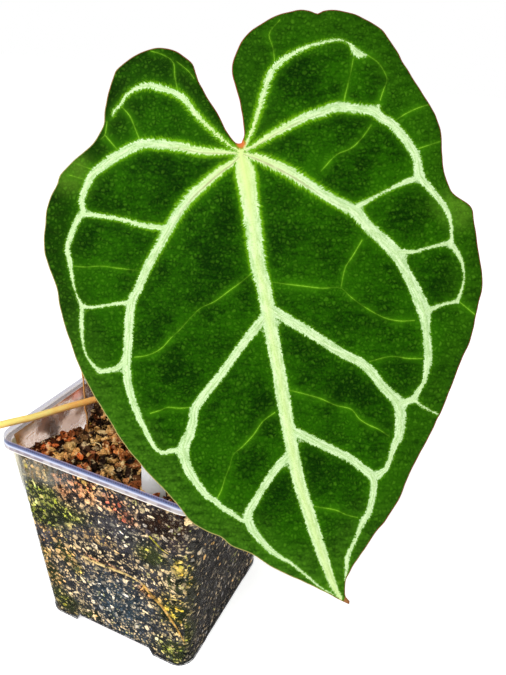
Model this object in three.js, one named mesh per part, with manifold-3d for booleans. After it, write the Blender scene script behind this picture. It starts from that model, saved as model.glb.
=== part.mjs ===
// A crystal anthurium in a clear square nursery pot: one large velvet leaf on its petiole, the crown that
// carries it, a trimmed old petiole that rests on the rim, a dry bract, a blank plant label and chunky mix.
// Millimetres, +Z up. The origin is on the standing surface, below the middle of the whole object's box.
// The pieces are drawn about the pot's upright axis, with the pot's front wall facing -Y.
import * as THREE from "three";
import { mergeVertices } from "three/addons/utils/BufferGeometryUtils.js";
import Module from "manifold-3d";

const wasm = await Module();
wasm.setup();

// Where the pot's axis stands in the part's frame
const POT_AXIS = new THREE.Vector3(-31.4, 4.1, 0);

// Clearance between pieces that touch, and how far a cutting tool runs past what it cuts
const GAP = 0.3;
const OVERRUN = 1;

// Pot: a 9 by 9 by 10 cm clear square pot, with a flange round its top and a foot at each corner
const POT_HEIGHT = 101.8;
const POT_BASE_HALF = 38.5;
const POT_TOP_HALF = 45;
const POT_BASE_CORNER = 8;
const POT_TOP_CORNER = 9;
const WALL = 1.1;
const FLANGE_HEIGHT = 6;
const FLANGE_PROUD = 2;
const FLANGE_STEP = 0.5;
const LIP_ROUND = 0.5;
const FLANGE_FOOT = POT_HEIGHT - FLANGE_HEIGHT;
const FLOOR = 1.2;
const FOOT_RISE = 3;
const FOOT_GAP_HALF = 21;
const DRAIN_RADIUS = 3;
const DRAIN_RING = 15;
const FOOT_DRAIN = 27;
const CORNER_STEPS = 5;

// Potting mix: its surface falls from the front to the back, with a dip by the left wall
const MIX_LEVEL = 84.5;
const MIX_SLOPE = 0.12;
const MIX_DIP = { x: -43, y: 8, depth: 9, reach: 18 };
const MIX_HEAP = { depth: 3, reach: 15 };
const MIX_SIDE_LUMP = 1.1;
const MIX_SIDE_TOP = 70;
const MIX_SEED = 41;
const CHUNK_TRIES = 6000;
const CHUNK_SMALL = 2.2;
const CHUNK_LARGE = 4.2;
const CHUNK_SPREAD = 1.15;
const CHUNK_PROUD = 0.3;
const CHUNK_CORNER_REACH = 1.32;

// Crown: the short stem that stands in the mix, with its dry bracts and the stub of the old petiole
const STEM_FOOT = 62;
const STEM_TOP = 95;
const STEM_RADIUS = 7.2;
const STEM_SEAT_RADIUS = 4;
const SCAR_RISE = 0.35;
const BRACT_COUNT = 5;
const BRACT_LENGTH = 21;
const BRACT_SINK = 5;
const STUB_LENGTH = 4.5;

// Leaf: the blade faces forward and up, and is rolled a little about its own normal
const JUNCTION = new THREE.Vector3(37.8, -3.5, 219);
const LEAF_TURN = THREE.MathUtils.degToRad(23.4);
const LEAF_LEAN = THREE.MathUtils.degToRad(26.5);
const LEAF_ROLL = THREE.MathUtils.degToRad(3.2);
const BLADE_THICKNESS = 0.8;
const TIP = { u: 36.5, v: -150.7 };
// The outline below is as seen square on, from this far in front of this point of the blade
const SIGHT = { u: 4.3, v: -61.8, distance: 211.6 };
const SIDE_DROP = 5;
const TIP_DROP = 5;
const LOBE_DROP = 4;
const MARGIN_WAVE = 1.4;
const QUILT = 0.9;
const UPPER_RIDGE = 0.7;
const LOWER_RIDGE = 1.5;
const MARGIN_STEP = 3.6;
const VEIN_STEP = 4.6;
const BLADE_GRID = 5.2;
const BLADE_SEED = 7;
const GRID_ROWS = [-30, 10];
const GRID_COLUMNS = [-14, 17];

// Slim pieces
const PETIOLE_RADIUS = 2.3;
const PULVINUS_RADIUS = 3.2;
const OLD_PETIOLE_RADIUS = 1.5;
const LABEL = { width: 11, thickness: 0.8, bend: 9, foot: 46, top: 121, lean: 4, taper: 0.35 };
const LABEL_PLACE = { x: 19.6, y: -32, turn: 20 };
const DRY_BRACT = { width: 6, thickness: 0.9, bend: 4.5, foot: 62, top: 112, lean: -1, taper: 0.7 };
const DRY_BRACT_PLACE = { x: -37.9, y: 2.4, turn: 58 };

// Outline of the blade in mm, to the right of and above the point where the petiole joins it:
// its left side from the bottom of the notch to the tip, then its right side from the tip to the notch
const LEFT_MARGIN = [
  [0.5, 3], [-1, 3], [-4.5, 7.2], [-6.8, 11.8], [-12, 20.3], [-14.8, 26.3], [-16.2, 29.7],
  [-21.8, 33.8], [-29.3, 34.5], [-41, 27.7], [-42.3, 25], [-45, 14.3], [-45.3, 9.5], [-46.7, 6.3],
  [-49, 3], [-59.7, -7.3], [-61, -10.7], [-63.9, -17.2], [-65.2, -27.9], [-65, -33.9], [-61, -45.7],
  [-59.7, -53], [-57.7, -60], [-52.3, -74.3], [-48.8, -80.9], [-44.7, -87.3], [-40, -95.2],
  [-32, -105.3], [-21.1, -117], [-16.4, -122.9], [-11, -126.3], [-6.3, -128.3], [-3.3, -130.7],
  [4, -133.9], [10.3, -138], [14.3, -140], [26.7, -145.7], [36.5, -150.7],
];
const RIGHT_MARGIN = [
  [36.5, -150.7], [36.7, -149.8], [35.3, -148], [35.3, -143.2], [36.7, -140.3], [37.9, -137.5],
  [40.3, -134.3], [46, -125.7], [48.7, -122.7], [53.2, -115.3], [56.8, -106.7], [65.3, -90.3],
  [67.7, -85], [74.3, -68.3], [76.7, -63], [79, -53], [81, -42.7], [79.7, -34], [77.9, -22],
  [77, -18.3], [70.5, -13], [67.8, -4.7], [67.2, 5.3], [65.7, 11.3], [63.3, 15.7], [56.2, 27],
  [50.2, 37], [47.3, 40.7], [39, 45.7], [31.2, 47.4], [27.7, 47.1], [25.8, 46.2], [23.3, 47.1],
  [20.3, 47.4], [12.7, 45.7], [8.6, 43.7], [2, 38.8], [-1.7, 32.3], [-2.7, 27], [-0.3, 18],
  [1.3, 6], [0.5, 3],
];

// Each vein as the points it runs through, with its width there
const VEINS = {
  midrib: [
    [0.3, -1, 8], [1.7, -6.3, 7.7], [4.3, -23.7, 6.2], [6.3, -38.7, 5.3], [8, -44.7, 5],
    [10.9, -62.3, 4.7], [13.3, -74.3, 4.5], [14.2, -80.3, 4.7], [17.3, -98, 4.2], [19.8, -110, 4.2],
    [21.7, -116, 4.2], [27.2, -133, 3.7], [31.7, -145.2, 2], [33.8, -148.7, 1.3],
  ],
  left_1: [
    [0, 0, 1], [-6, 4.3, 1.3], [-14.3, 12.3, 2], [-19, 18, 2.7], [-23.2, 20.3, 2.7],
    [-31.7, 22, 2.7], [-37.7, 19, 1.7], [-39.7, 16, 1.7], [-42.3, 12, 1],
  ],
  left_2: [
    [-1.3, -0.3, 1.7], [-13, 0.3, 2.8], [-20, 1.8, 3], [-31.7, 2.7, 3.3], [-35, 1.8, 3.3],
    [-42.3, -2.2, 3.3], [-46, -5, 3], [-49, -7.3, 2.7], [-52.7, -16.3, 1.9], [-52.2, -19, 1.9],
    [-52.3, -20.5, 2],
  ],
  left_margin: [
    [-52.3, -20.5, 2], [-53.3, -21.3, 2], [-57.4, -32, 1.7], [-56.8, -35.7, 1.7], [-55.3, -44, 0.7],
    [-53.9, -48.7, 0.5], [-52.7, -51, 1.3], [-52.7, -57.7, 1.3], [-51.3, -67.2, 0.5], [-47, -73, 1.3],
  ],
  left_3: [
    [-1.2, -2.7, 2.7], [-6, -5.3, 3], [-10.7, -9.7, 3], [-19, -18, 3.3], [-28, -33.3, 3],
    [-30.3, -37.3, 3], [-34, -45.7, 2.8], [-36, -50, 3], [-37.2, -63.7, 3], [-37.5, -75, 2.7],
    [-33.3, -88.7, 2], [-26.3, -100, 1.3], [-21.3, -99.3, 2], [-19, -100.7, 3],
  ],
  left_4: [
    [8, -55.3, 3.3], [0.7, -64.3, 2.7], [-6, -73.7, 2.7], [-15, -85.7, 3], [-15.5, -89.7, 3],
    [-16.7, -94, 3.3], [-18.5, -97.7, 3.7], [-17.8, -104, 3.3], [-11, -114.3, 2], [-8.3, -116, 2],
    [-6, -118.3, 1.7], [-3, -120, 1.7], [0, -122.2, 1.2], [2.3, -123, 1.7],
  ],
  left_5: [
    [16.7, -100.7, 3], [12.3, -105.2, 2.7], [5.7, -115.3, 2.3], [2.7, -121.7, 3], [8.3, -130.7, 2],
    [13.7, -135, 1.3], [16.9, -136.7, 1], [27.3, -145.2, 0.5],
  ],
  left_cross_1: [[-25.3, -25.3, 2], [-31, -24.7, 1.7], [-40.3, -22.3, 1.3], [-52.3, -20.5, 1.7]],
  left_cross_2: [[-36.3, -50, 1.7], [-41, -50.5, 1], [-50, -51.7, 1], [-52.3, -51.3, 1.7]],
  left_cross_3: [[-37.7, -68.3, 2], [-41, -72, 1.7], [-47, -73.2, 1.3]],
  right_1: [
    [1.3, 1, 1.3], [4.3, 7.8, 1.7], [10.3, 26.3, 2.7], [12.7, 29.3, 2.3], [19.9, 34, 1.3],
    [32.3, 37.3, 0.7], [36, 36.3, 0.5], [39.3, 32.7, 2.7], [42, 32.2, 0.7],
  ],
  right_2: [
    [1.3, 0.7, 1.3], [4.3, 1.3, 1.7], [13.3, 7.3, 2.7], [22.9, 12, 3], [27.7, 13.5, 3.3],
    [32.3, 15, 3.3], [40.7, 14.3, 3], [44.3, 13.8, 3.3], [47.3, 11.3, 3], [50.2, 9.7, 3],
    [58, 0, 3], [59.2, -3.5, 2.8], [59.7, -7.7, 3.3], [61.5, -10, 2.7], [69.3, -20.2, 1.5],
    [70.5, -28, 1], [70.2, -30.3, 2], [72.3, -33.3, 1.7], [74, -36.8, 1], [74.6, -42.7, 0.5],
    [72.5, -49.7, 1.3],
  ],
  right_3: [
    [1, 0, 2], [6.2, -1.7, 3], [15.7, -6.3, 3.7], [30, -15.3, 3.3], [39, -20.3, 4],
    [41.3, -23.3, 3.7], [52, -33.7, 4.3], [54.7, -38.7, 3.3], [61.2, -52.7, 4.3], [62, -59.3, 2.7],
    [62.7, -68.3, 2.7], [61.2, -76.7, 1.3], [59.3, -79.7, 1.7], [57.9, -82, 2], [53, -84, 3],
  ],
  right_4: [
    [9.3, -51.7, 3.3], [24.3, -60.7, 3.2], [33.7, -66.7, 3], [42, -71.3, 3], [48, -78.5, 3],
    [52.9, -83.9, 3.7], [52.9, -94.7, 3], [51.7, -97, 2.3], [48.7, -105.3, 1.7], [45.7, -107.7, 2.7],
  ],
  right_5: [
    [16.3, -92, 3], [32.7, -100, 2.7], [37.3, -102.3, 2.7], [41, -105.3, 2.7], [44, -107.7, 3],
    [44.7, -110.8, 2.3], [42.7, -120.5, 2], [41, -123, 2], [38.7, -128.7, 1], [35.8, -135, 1.7],
    [35.7, -138, 1.3],
  ],
  right_cross_1: [[58, -9, 2], [55, -10, 1.7], [47.3, -13.7, 0.8], [38.7, -18.3, 2]],
  right_cross_2: [[52.3, -33.3, 2.3], [59.2, -33, 1], [62, -32, 0.7], [69.3, -30.3, 1.7]],
  right_cross_3: [[61.7, -53.3, 2.3], [66.7, -51, 1], [72.5, -49.5, 1]],
};

// A number between 0 and 1 from a seed, the same on every run
function randomFrom(seed) {
  let state = seed >>> 0;
  return () => {
    state = (Math.imul(state, 1664525) + 1013904223) >>> 0;
    return state / 2 ** 32;
  };
}

function solidOf(geometry) {
  const bare = geometry.clone();
  bare.deleteAttribute("normal");
  bare.deleteAttribute("uv");
  const merged = mergeVertices(bare, 1e-4);
  return new wasm.Manifold(
    new wasm.Mesh({
      numProp: 3,
      vertProperties: new Float32Array(merged.attributes.position.array),
      triVerts: new Uint32Array(merged.index.array),
    }),
  );
}

function geometryOf(solid) {
  const mesh = solid.getMesh();
  const geometry = new THREE.BufferGeometry();
  geometry.setAttribute("position", new THREE.BufferAttribute(new Float32Array(mesh.vertProperties), 3));
  geometry.setIndex(new THREE.BufferAttribute(new Uint32Array(mesh.triVerts), 1));
  geometry.computeVertexNormals();
  return geometry;
}

// The one body of a solid that matters, without the scraps that a cut leaves
function largestBody(solid) {
  const bodies = solid.decompose();
  return bodies.reduce((best, body) => (body.volume() > best.volume() ? body : best));
}

function meshGeometry(vertices, faces) {
  const geometry = new THREE.BufferGeometry();
  const flat = vertices.flatMap((vertex) => [vertex.x, vertex.y, vertex.z]);
  geometry.setAttribute("position", new THREE.Float32BufferAttribute(flat, 3));
  geometry.setIndex(faces.flat());
  return geometry;
}

// A closed skin over rings of equal count, each counter-clockwise seen from where the rings go
function loft(rings) {
  const count = rings[0].length;
  const vertices = rings.flat();
  const faces = [];
  for (let ring = 0; ring + 1 < rings.length; ring++) {
    for (let i = 0; i < count; i++) {
      const a = ring * count + i;
      const b = ring * count + ((i + 1) % count);
      faces.push([a, b, b + count], [a, b + count, a + count]);
    }
  }
  const last = (rings.length - 1) * count;
  const middleOf = (ring) =>
    ring.reduce((sum, point) => sum.add(point), new THREE.Vector3()).divideScalar(count);
  const bottom = vertices.push(middleOf(rings[0])) - 1;
  const top = vertices.push(middleOf(rings[rings.length - 1])) - 1;
  for (let i = 0; i < count; i++) {
    const next = (i + 1) % count;
    faces.push([bottom, next, i], [top, last + i, last + next]);
  }
  return meshGeometry(vertices, faces);
}

// A tapered rod along a smooth curve; a flat one has its width along across, and its depth is flat of that
function rod(points, radii, sides, steps, flat = 1, across = null) {
  const curve = new THREE.CatmullRomCurve3(points, false, "centripetal");
  const frames = curve.computeFrenetFrames(steps, false);
  if (across) {
    frames.normals = frames.tangents.map(() => across);
    frames.binormals = frames.tangents.map((tangent) => tangent.clone().cross(across));
  }
  const rings = [];
  for (let step = 0; step <= steps; step++) {
    const share = step / steps;
    const place = share * (radii.length - 1);
    const index = Math.min(radii.length - 2, Math.floor(place));
    const radius = THREE.MathUtils.lerp(radii[index], radii[index + 1], place - index);
    const centre = curve.getPointAt(share);
    const ring = [];
    for (let i = 0; i < sides; i++) {
      const angle = (2 * Math.PI * i) / sides;
      ring.push(
        centre
          .clone()
          .addScaledVector(frames.normals[step], radius * Math.cos(angle))
          .addScaledVector(frames.binormals[step], radius * flat * Math.sin(angle)),
      );
    }
    rings.push(ring);
  }
  return loft(rings);
}

// A square ring with round corners, level at height z
function squareRing(half, corner, z) {
  const ring = [];
  const centres = [[1, 1], [-1, 1], [-1, -1], [1, -1]];
  centres.forEach(([sideX, sideY], quarter) => {
    for (let step = 0; step <= CORNER_STEPS; step++) {
      const angle = (Math.PI / 2) * (quarter + step / CORNER_STEPS);
      const x = sideX * (half - corner) + corner * Math.cos(angle);
      const y = sideY * (half - corner) + corner * Math.sin(angle);
      ring.push(new THREE.Vector3(x, y, z));
    }
  });
  return ring;
}

function halfAt(z) {
  return THREE.MathUtils.lerp(POT_BASE_HALF, POT_TOP_HALF, z / FLANGE_FOOT);
}

function cornerAt(z) {
  return THREE.MathUtils.lerp(POT_BASE_CORNER, POT_TOP_CORNER, z / FLANGE_FOOT);
}

function box(sizeX, sizeY, lowZ, highZ) {
  const geometry = new THREE.BoxGeometry(sizeX, sizeY, highZ - lowZ);
  return solidOf(geometry.translate(0, 0, (lowZ + highZ) / 2));
}

// The raised cross of the pot's base, between its four feet
function baseCross(armHalf, lowZ, highZ) {
  const reach = 4 * POT_BASE_HALF;
  return box(2 * armHalf, reach, lowZ, highZ).add(box(reach, 2 * armHalf, lowZ, highZ));
}

function upright(radius, x, y, lowZ, highZ) {
  const geometry = new THREE.CylinderGeometry(radius, radius, highZ - lowZ, 16);
  geometry.rotateX(Math.PI / 2).translate(x, y, (lowZ + highZ) / 2);
  return solidOf(geometry);
}

function drainPlaces() {
  const places = [[0, 0]];
  for (const [x, y] of [[1, 0], [0, 1], [-1, 0], [0, -1]]) places.push([x * DRAIN_RING, y * DRAIN_RING]);
  for (const [x, y] of [[1, 1], [-1, 1], [-1, -1], [1, -1]]) places.push([x * FOOT_DRAIN, y * FOOT_DRAIN]);
  return places;
}

function potBody() {
  const top = POT_TOP_HALF + FLANGE_PROUD;
  const corner = POT_TOP_CORNER + FLANGE_PROUD;
  const shoulder = top - FLANGE_STEP;
  const outer = solidOf(
    loft([
      squareRing(POT_BASE_HALF - LIP_ROUND, POT_BASE_CORNER - LIP_ROUND, 0),
      squareRing(halfAt(LIP_ROUND), POT_BASE_CORNER, LIP_ROUND),
      squareRing(POT_TOP_HALF, POT_TOP_CORNER, FLANGE_FOOT),
      squareRing(top, corner, FLANGE_FOOT),
      squareRing(top, corner, FLANGE_FOOT + FLANGE_HEIGHT / 2),
      squareRing(shoulder, corner - FLANGE_STEP, FLANGE_FOOT + FLANGE_HEIGHT / 2 + FLANGE_STEP),
      squareRing(shoulder, corner - FLANGE_STEP, POT_HEIGHT - LIP_ROUND),
      squareRing(shoulder - LIP_ROUND, corner - FLANGE_STEP - LIP_ROUND, POT_HEIGHT),
    ]),
  );
  const inside = POT_TOP_HALF - WALL;
  const insideCorner = POT_TOP_CORNER - WALL;
  const hollow = solidOf(
    loft([
      squareRing(halfAt(FLOOR) - WALL, cornerAt(FLOOR) - WALL, FLOOR),
      squareRing(inside, insideCorner, FLANGE_FOOT),
      squareRing(inside, insideCorner, POT_HEIGHT - LIP_ROUND),
      squareRing(inside + 2 * LIP_ROUND, insideCorner + 2 * LIP_ROUND, POT_HEIGHT + LIP_ROUND),
    ]),
  ).subtract(baseCross(FOOT_GAP_HALF + FLOOR, 0, FOOT_RISE + FLOOR));
  const drainTop = FOOT_RISE + 2 * FLOOR;
  const drains = drainPlaces().map(([x, y]) => upright(DRAIN_RADIUS, x, y, -OVERRUN, drainTop));
  return outer
    .subtract(hollow)
    .subtract(baseCross(FOOT_GAP_HALF, -OVERRUN, FOOT_RISE))
    .subtract(wasm.Manifold.union(drains));
}

function mixLevel(x, y) {
  const fromDip = ((x - MIX_DIP.x) ** 2 + (y - MIX_DIP.y) ** 2) / MIX_DIP.reach ** 2;
  const fromCrown = (x ** 2 + y ** 2) / MIX_HEAP.reach ** 2;
  const dip = MIX_DIP.depth * Math.exp(-fromDip);
  return MIX_LEVEL - MIX_SLOPE * y - dip + MIX_HEAP.depth * Math.exp(-fromCrown);
}

// How far the mix stands back from the wall there, as a smooth lumpy pattern between 0 and 1
function sideLump(along, z) {
  const wide = Math.sin(0.55 * along + 1.7 * Math.sin(0.31 * z));
  const tall = Math.sin(0.62 * z + 2.1 * Math.sin(0.27 * along));
  return 0.5 + 0.25 * (wide + tall);
}

// A point on a round-cornered square's side, from a share of the way round it
function squarePoint(half, corner, share, z) {
  const angle = 2 * Math.PI * share;
  const x = Math.cos(angle);
  const y = Math.sin(angle);
  const reach = half / Math.max(Math.abs(x), Math.abs(y));
  const point = new THREE.Vector3(x * reach, y * reach, z);
  const overX = Math.max(0, Math.abs(point.x) - (half - corner));
  const overY = Math.max(0, Math.abs(point.y) - (half - corner));
  const over = Math.hypot(overX, overY);
  if (overX > 0 && overY > 0 && over > corner) {
    point.x = Math.sign(point.x) * (half - corner + (overX * corner) / over);
    point.y = Math.sign(point.y) * (half - corner + (overY * corner) / over);
  }
  return point;
}

function mixBlock() {
  const around = 44;
  const levels = 9;
  const inwards = 5;
  const pointAt = (i, share, z, lump) => {
    const half = halfAt(z) - WALL - GAP - lump * MIX_SIDE_LUMP * sideLump(2.5 * i, z);
    return squarePoint(share * half, share * (cornerAt(z) - WALL), i / around, z);
  };
  const sideRing = (z, lump) => Array.from({ length: around }, (_, i) => pointAt(i, 1, z, lump));
  const coverRing = (share) =>
    Array.from({ length: around }, (_, i) => {
      const first = pointAt(i, share, MIX_LEVEL, 1);
      const point = pointAt(i, share, mixLevel(first.x, first.y), 1);
      point.z = mixLevel(point.x, point.y);
      return point;
    });
  const foot = FLOOR + GAP;
  const rings = [sideRing(foot, 0)];
  for (let level = 1; level < levels; level++) {
    rings.push(sideRing(THREE.MathUtils.lerp(foot, MIX_SIDE_TOP, level / (levels - 1)), 1));
  }
  for (let step = inwards; step > 0; step--) rings.push(coverRing(step / inwards));
  const cross = baseCross(FOOT_GAP_HALF + FLOOR + GAP, 0, FOOT_RISE + FLOOR + GAP);
  return solidOf(loft(rings)).subtract(cross);
}

// Chunks of bark, stone and husk that lie bedded in the top of the mix
function mixChunks() {
  const random = randomFrom(MIX_SEED);
  const chunks = [];
  const reach = halfAt(MIX_SIDE_TOP) - WALL - GAP;
  const placed = [];
  for (let turn = 0; turn < CHUNK_TRIES; turn++) {
    const size = THREE.MathUtils.lerp(CHUNK_SMALL, CHUNK_LARGE, random() ** 2);
    const x = (2 * random() - 1) * (reach - CHUNK_SPREAD * size);
    const y = (2 * random() - 1) * (reach - CHUNK_SPREAD * size);
    const tilt = new THREE.Euler(...[0, 1, 2].map(() => 2 * Math.PI * random()));
    const stretch = [CHUNK_SPREAD, 0.95 + 0.2 * random(), 0.8 + 0.3 * random()];
    const crowded = placed.some((other) => {
      return Math.hypot(other.x - x, other.y - y) < CHUNK_SPREAD * (other.size + size);
    });
    const outside = Math.hypot(x, y) > CHUNK_CORNER_REACH * reach - CHUNK_SPREAD * size;
    if (crowded || outside || Math.hypot(x, y) < STEM_RADIUS + CHUNK_SPREAD * size) continue;
    placed.push({ x, y, size });
    const geometry = new THREE.OctahedronGeometry(size, 0).scale(...stretch);
    geometry.applyMatrix4(new THREE.Matrix4().makeRotationFromEuler(tilt));
    chunks.push(solidOf(geometry.translate(x, y, mixLevel(x, y) + CHUNK_PROUD * size)));
  }
  return wasm.Manifold.union(chunks);
}

// A strip with a curved section that stands in the mix; grow widens it, to cut its slot
function uprightStrip(form, place, grow) {
  const outer = form.bend + form.thickness / 2 + grow;
  const inner = form.bend - form.thickness / 2 - grow;
  const half = (form.width / 2 + grow) / form.bend;
  const section = new THREE.Shape();
  section.absarc(0, 0, outer, -Math.PI / 2 - half, -Math.PI / 2 + half, false);
  section.absarc(0, 0, inner, -Math.PI / 2 + half, -Math.PI / 2 - half, true);
  const depth = form.top - form.foot + grow;
  const options = { depth, steps: 6, bevelEnabled: false, curveSegments: 5 };
  const geometry = new THREE.ExtrudeGeometry(section, options);
  const position = geometry.attributes.position;
  for (let i = 0; i < position.count; i++) {
    const share = position.getZ(i) / depth;
    const taper = 1 - form.taper * share ** 3;
    position.setX(i, position.getX(i) * taper);
    position.setY(i, position.getY(i) + form.bend - form.lean * share);
  }
  geometry.rotateZ(THREE.MathUtils.degToRad(place.turn));
  geometry.translate(place.x, place.y, form.foot - grow);
  return solidOf(geometry);
}

function plantLabel(grow = 0) {
  return uprightStrip(LABEL, LABEL_PLACE, grow);
}

function dryBract(grow = 0) {
  return uprightStrip(DRY_BRACT, DRY_BRACT_PLACE, grow);
}

// The short thick stem: ringed by old leaf scars, flat on top where the petiole stands
function stemBody() {
  const sides = 18;
  const rings = [];
  const steps = 16;
  for (let step = 0; step <= steps; step++) {
    const share = step / steps;
    const z = THREE.MathUtils.lerp(STEM_FOOT, STEM_TOP, share);
    const scar = SCAR_RISE * Math.max(0, Math.sin(1.5 * z));
    const shoulder = Math.min(1, Math.sqrt(Math.max(0, (STEM_TOP - z) / 6)));
    const radius = THREE.MathUtils.lerp(STEM_SEAT_RADIUS, STEM_RADIUS + scar, shoulder);
    const ring = [];
    for (let i = 0; i < sides; i++) {
      const angle = (2 * Math.PI * i) / sides;
      const lump = 1 - 0.05 * (1 + Math.sin(3 * angle + 0.4 * z)) * shoulder;
      ring.push(new THREE.Vector3(radius * lump * Math.cos(angle), radius * lump * Math.sin(angle), z));
    }
    rings.push(ring);
  }
  return solidOf(loft(rings));
}

// Dry pointed bracts that stand round the crown, each curling outwards from the stem
function crownBracts() {
  const bracts = [];
  for (let i = 0; i < BRACT_COUNT; i++) {
    const angle = 0.9 + (2 * Math.PI * (i + 0.25 * Math.sin(2.3 * i))) / BRACT_COUNT;
    const length = BRACT_LENGTH * (1 - 0.12 * i);
    const at = (reach, z) => new THREE.Vector3(reach * Math.cos(angle), reach * Math.sin(angle), z);
    const foot = STEM_TOP - BRACT_SINK;
    const curl = [[5.2, 0], [6, 0.4], [7.4, 0.75], [10, 1]];
    const points = curl.map(([reach, share]) => at(reach, foot + share * length));
    const across = new THREE.Vector3(-Math.sin(angle), Math.cos(angle), 0);
    bracts.push(solidOf(rod(points, [2.6, 3, 1.9, 0.5], 6, 6, 0.4, across)));
  }
  return wasm.Manifold.union(bracts);
}

// The old petiole leaves the crown on the left, arches up and lies over the pot's left rim
const OLD_PETIOLE_ROUTE = [
  [-9.4, 4.6, 93.6], [-13.8, 4.6, 98.4], [-20, 0.8, 102.2], [-26.1, -6.3, 104], [-29.1, -12.2, 104.5],
  [-34.1, -20.7, 104.6], [-41.6, -32.1, 103.9], [-44.3, -35, 103.7], [-49.6, -40.9, 103],
  [-57.8, -49.1, 102.2],
].map((point) => new THREE.Vector3(...point));

function stubOfOldPetiole() {
  const end = OLD_PETIOLE_ROUTE[0];
  const away = OLD_PETIOLE_ROUTE[1].clone().sub(end).normalize();
  const seat = end.clone().addScaledVector(away, -GAP);
  const root = seat.clone().addScaledVector(away, -STUB_LENGTH);
  return solidOf(rod([root, seat], [2.6, 2.1], 8, 2));
}

function crown() {
  return largestBody(wasm.Manifold.union([stemBody(), crownBracts(), stubOfOldPetiole()]));
}

function oldPetiole() {
  const r = OLD_PETIOLE_RADIUS;
  return solidOf(rod(OLD_PETIOLE_ROUTE, [1.2 * r, r, 0.98 * r, r, 1.05 * r], 8, 28));
}

function pottingMix() {
  const holes = wasm.Manifold.union([
    upright(STEM_RADIUS + SCAR_RISE + GAP, 0, 0, STEM_FOOT - GAP, POT_HEIGHT),
    plantLabel(GAP),
    dryBract(GAP),
  ]);
  return largestBody(mixBlock().add(mixChunks()).subtract(holes));
}

// Points along a smooth curve through the given ones, about one step apart
function alongCurve(points, step) {
  const knots = points.map(([u, v, width = 0]) => new THREE.Vector3(u, v, width));
  const curve = new THREE.CatmullRomCurve3(knots, false, "centripetal");
  return curve.getSpacedPoints(Math.max(2, Math.round(curve.getLength() / step)));
}

function distanceToStretch(point, start, end) {
  const spanX = end.x - start.x;
  const spanY = end.y - start.y;
  const square = spanX ** 2 + spanY ** 2;
  const dot = (point.x - start.x) * spanX + (point.y - start.y) * spanY;
  const share = square > 0 ? THREE.MathUtils.clamp(dot / square, 0, 1) : 0;
  const distance = Math.hypot(point.x - start.x - share * spanX, point.y - start.y - share * spanY);
  return { distance, share };
}

function insideOutline(point, outline) {
  let inside = false;
  outline.forEach((start, i) => {
    const end = outline[(i + 1) % outline.length];
    if (start.y > point.y === end.y > point.y) return;
    const crossing = start.x + ((point.y - start.y) * (end.x - start.x)) / (end.y - start.y);
    if (point.x < crossing) inside = !inside;
  });
  return inside;
}

function distanceToOutline(point, outline) {
  const gaps = outline.map((start, i) => {
    return distanceToStretch(point, start, outline[(i + 1) % outline.length]).distance;
  });
  return Math.min(...gaps);
}

// The nearest vein: its distance, and that distance as a share of its half width
function nearestVein(point, veinLines) {
  let best = { distance: Infinity, share: Infinity, width: 0 };
  for (const line of veinLines) {
    for (let i = 0; i + 1 < line.length; i++) {
      const { distance, share: along } = distanceToStretch(point, line[i], line[i + 1]);
      const width = THREE.MathUtils.lerp(line[i].z, line[i + 1].z, along);
      const share = (2 * distance) / width;
      if (share < best.share) best = { distance, share, width };
    }
  }
  return best;
}

// Delaunay triangles of points in the plane, built by adding one point at a time
function delaunay(points) {
  const far = 1e4;
  const all = [...points, { x: -far, y: -far }, { x: far, y: -far }, { x: 0, y: far }];
  const triangle = (a, b, c) => {
    const [ax, ay] = [all[a].x, all[a].y];
    const [bx, by] = [all[b].x - ax, all[b].y - ay];
    const [cx, cy] = [all[c].x - ax, all[c].y - ay];
    const twice = 2 * (bx * cy - by * cx);
    const x = (cy * (bx ** 2 + by ** 2) - by * (cx ** 2 + cy ** 2)) / twice;
    const y = (bx * (cx ** 2 + cy ** 2) - cx * (bx ** 2 + by ** 2)) / twice;
    return { corners: [a, b, c], x: x + ax, y: y + ay, square: x ** 2 + y ** 2 };
  };
  const count = points.length;
  let triangles = [triangle(count, count + 1, count + 2)];
  points.forEach((point, i) => {
    const rim = new Map();
    triangles = triangles.filter((t) => {
      if ((point.x - t.x) ** 2 + (point.y - t.y) ** 2 >= t.square) return true;
      t.corners.forEach((from, k) => {
        const to = t.corners[(k + 1) % 3];
        const back = `${to},${from}`;
        if (rim.has(back)) rim.delete(back);
        else rim.set(`${from},${to}`, [from, to]);
      });
      return false;
    });
    for (const [from, to] of rim.values()) triangles.push(triangle(from, to, i));
  });
  return triangles.map((t) => t.corners).filter((corners) => corners.every((corner) => corner < count));
}

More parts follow.
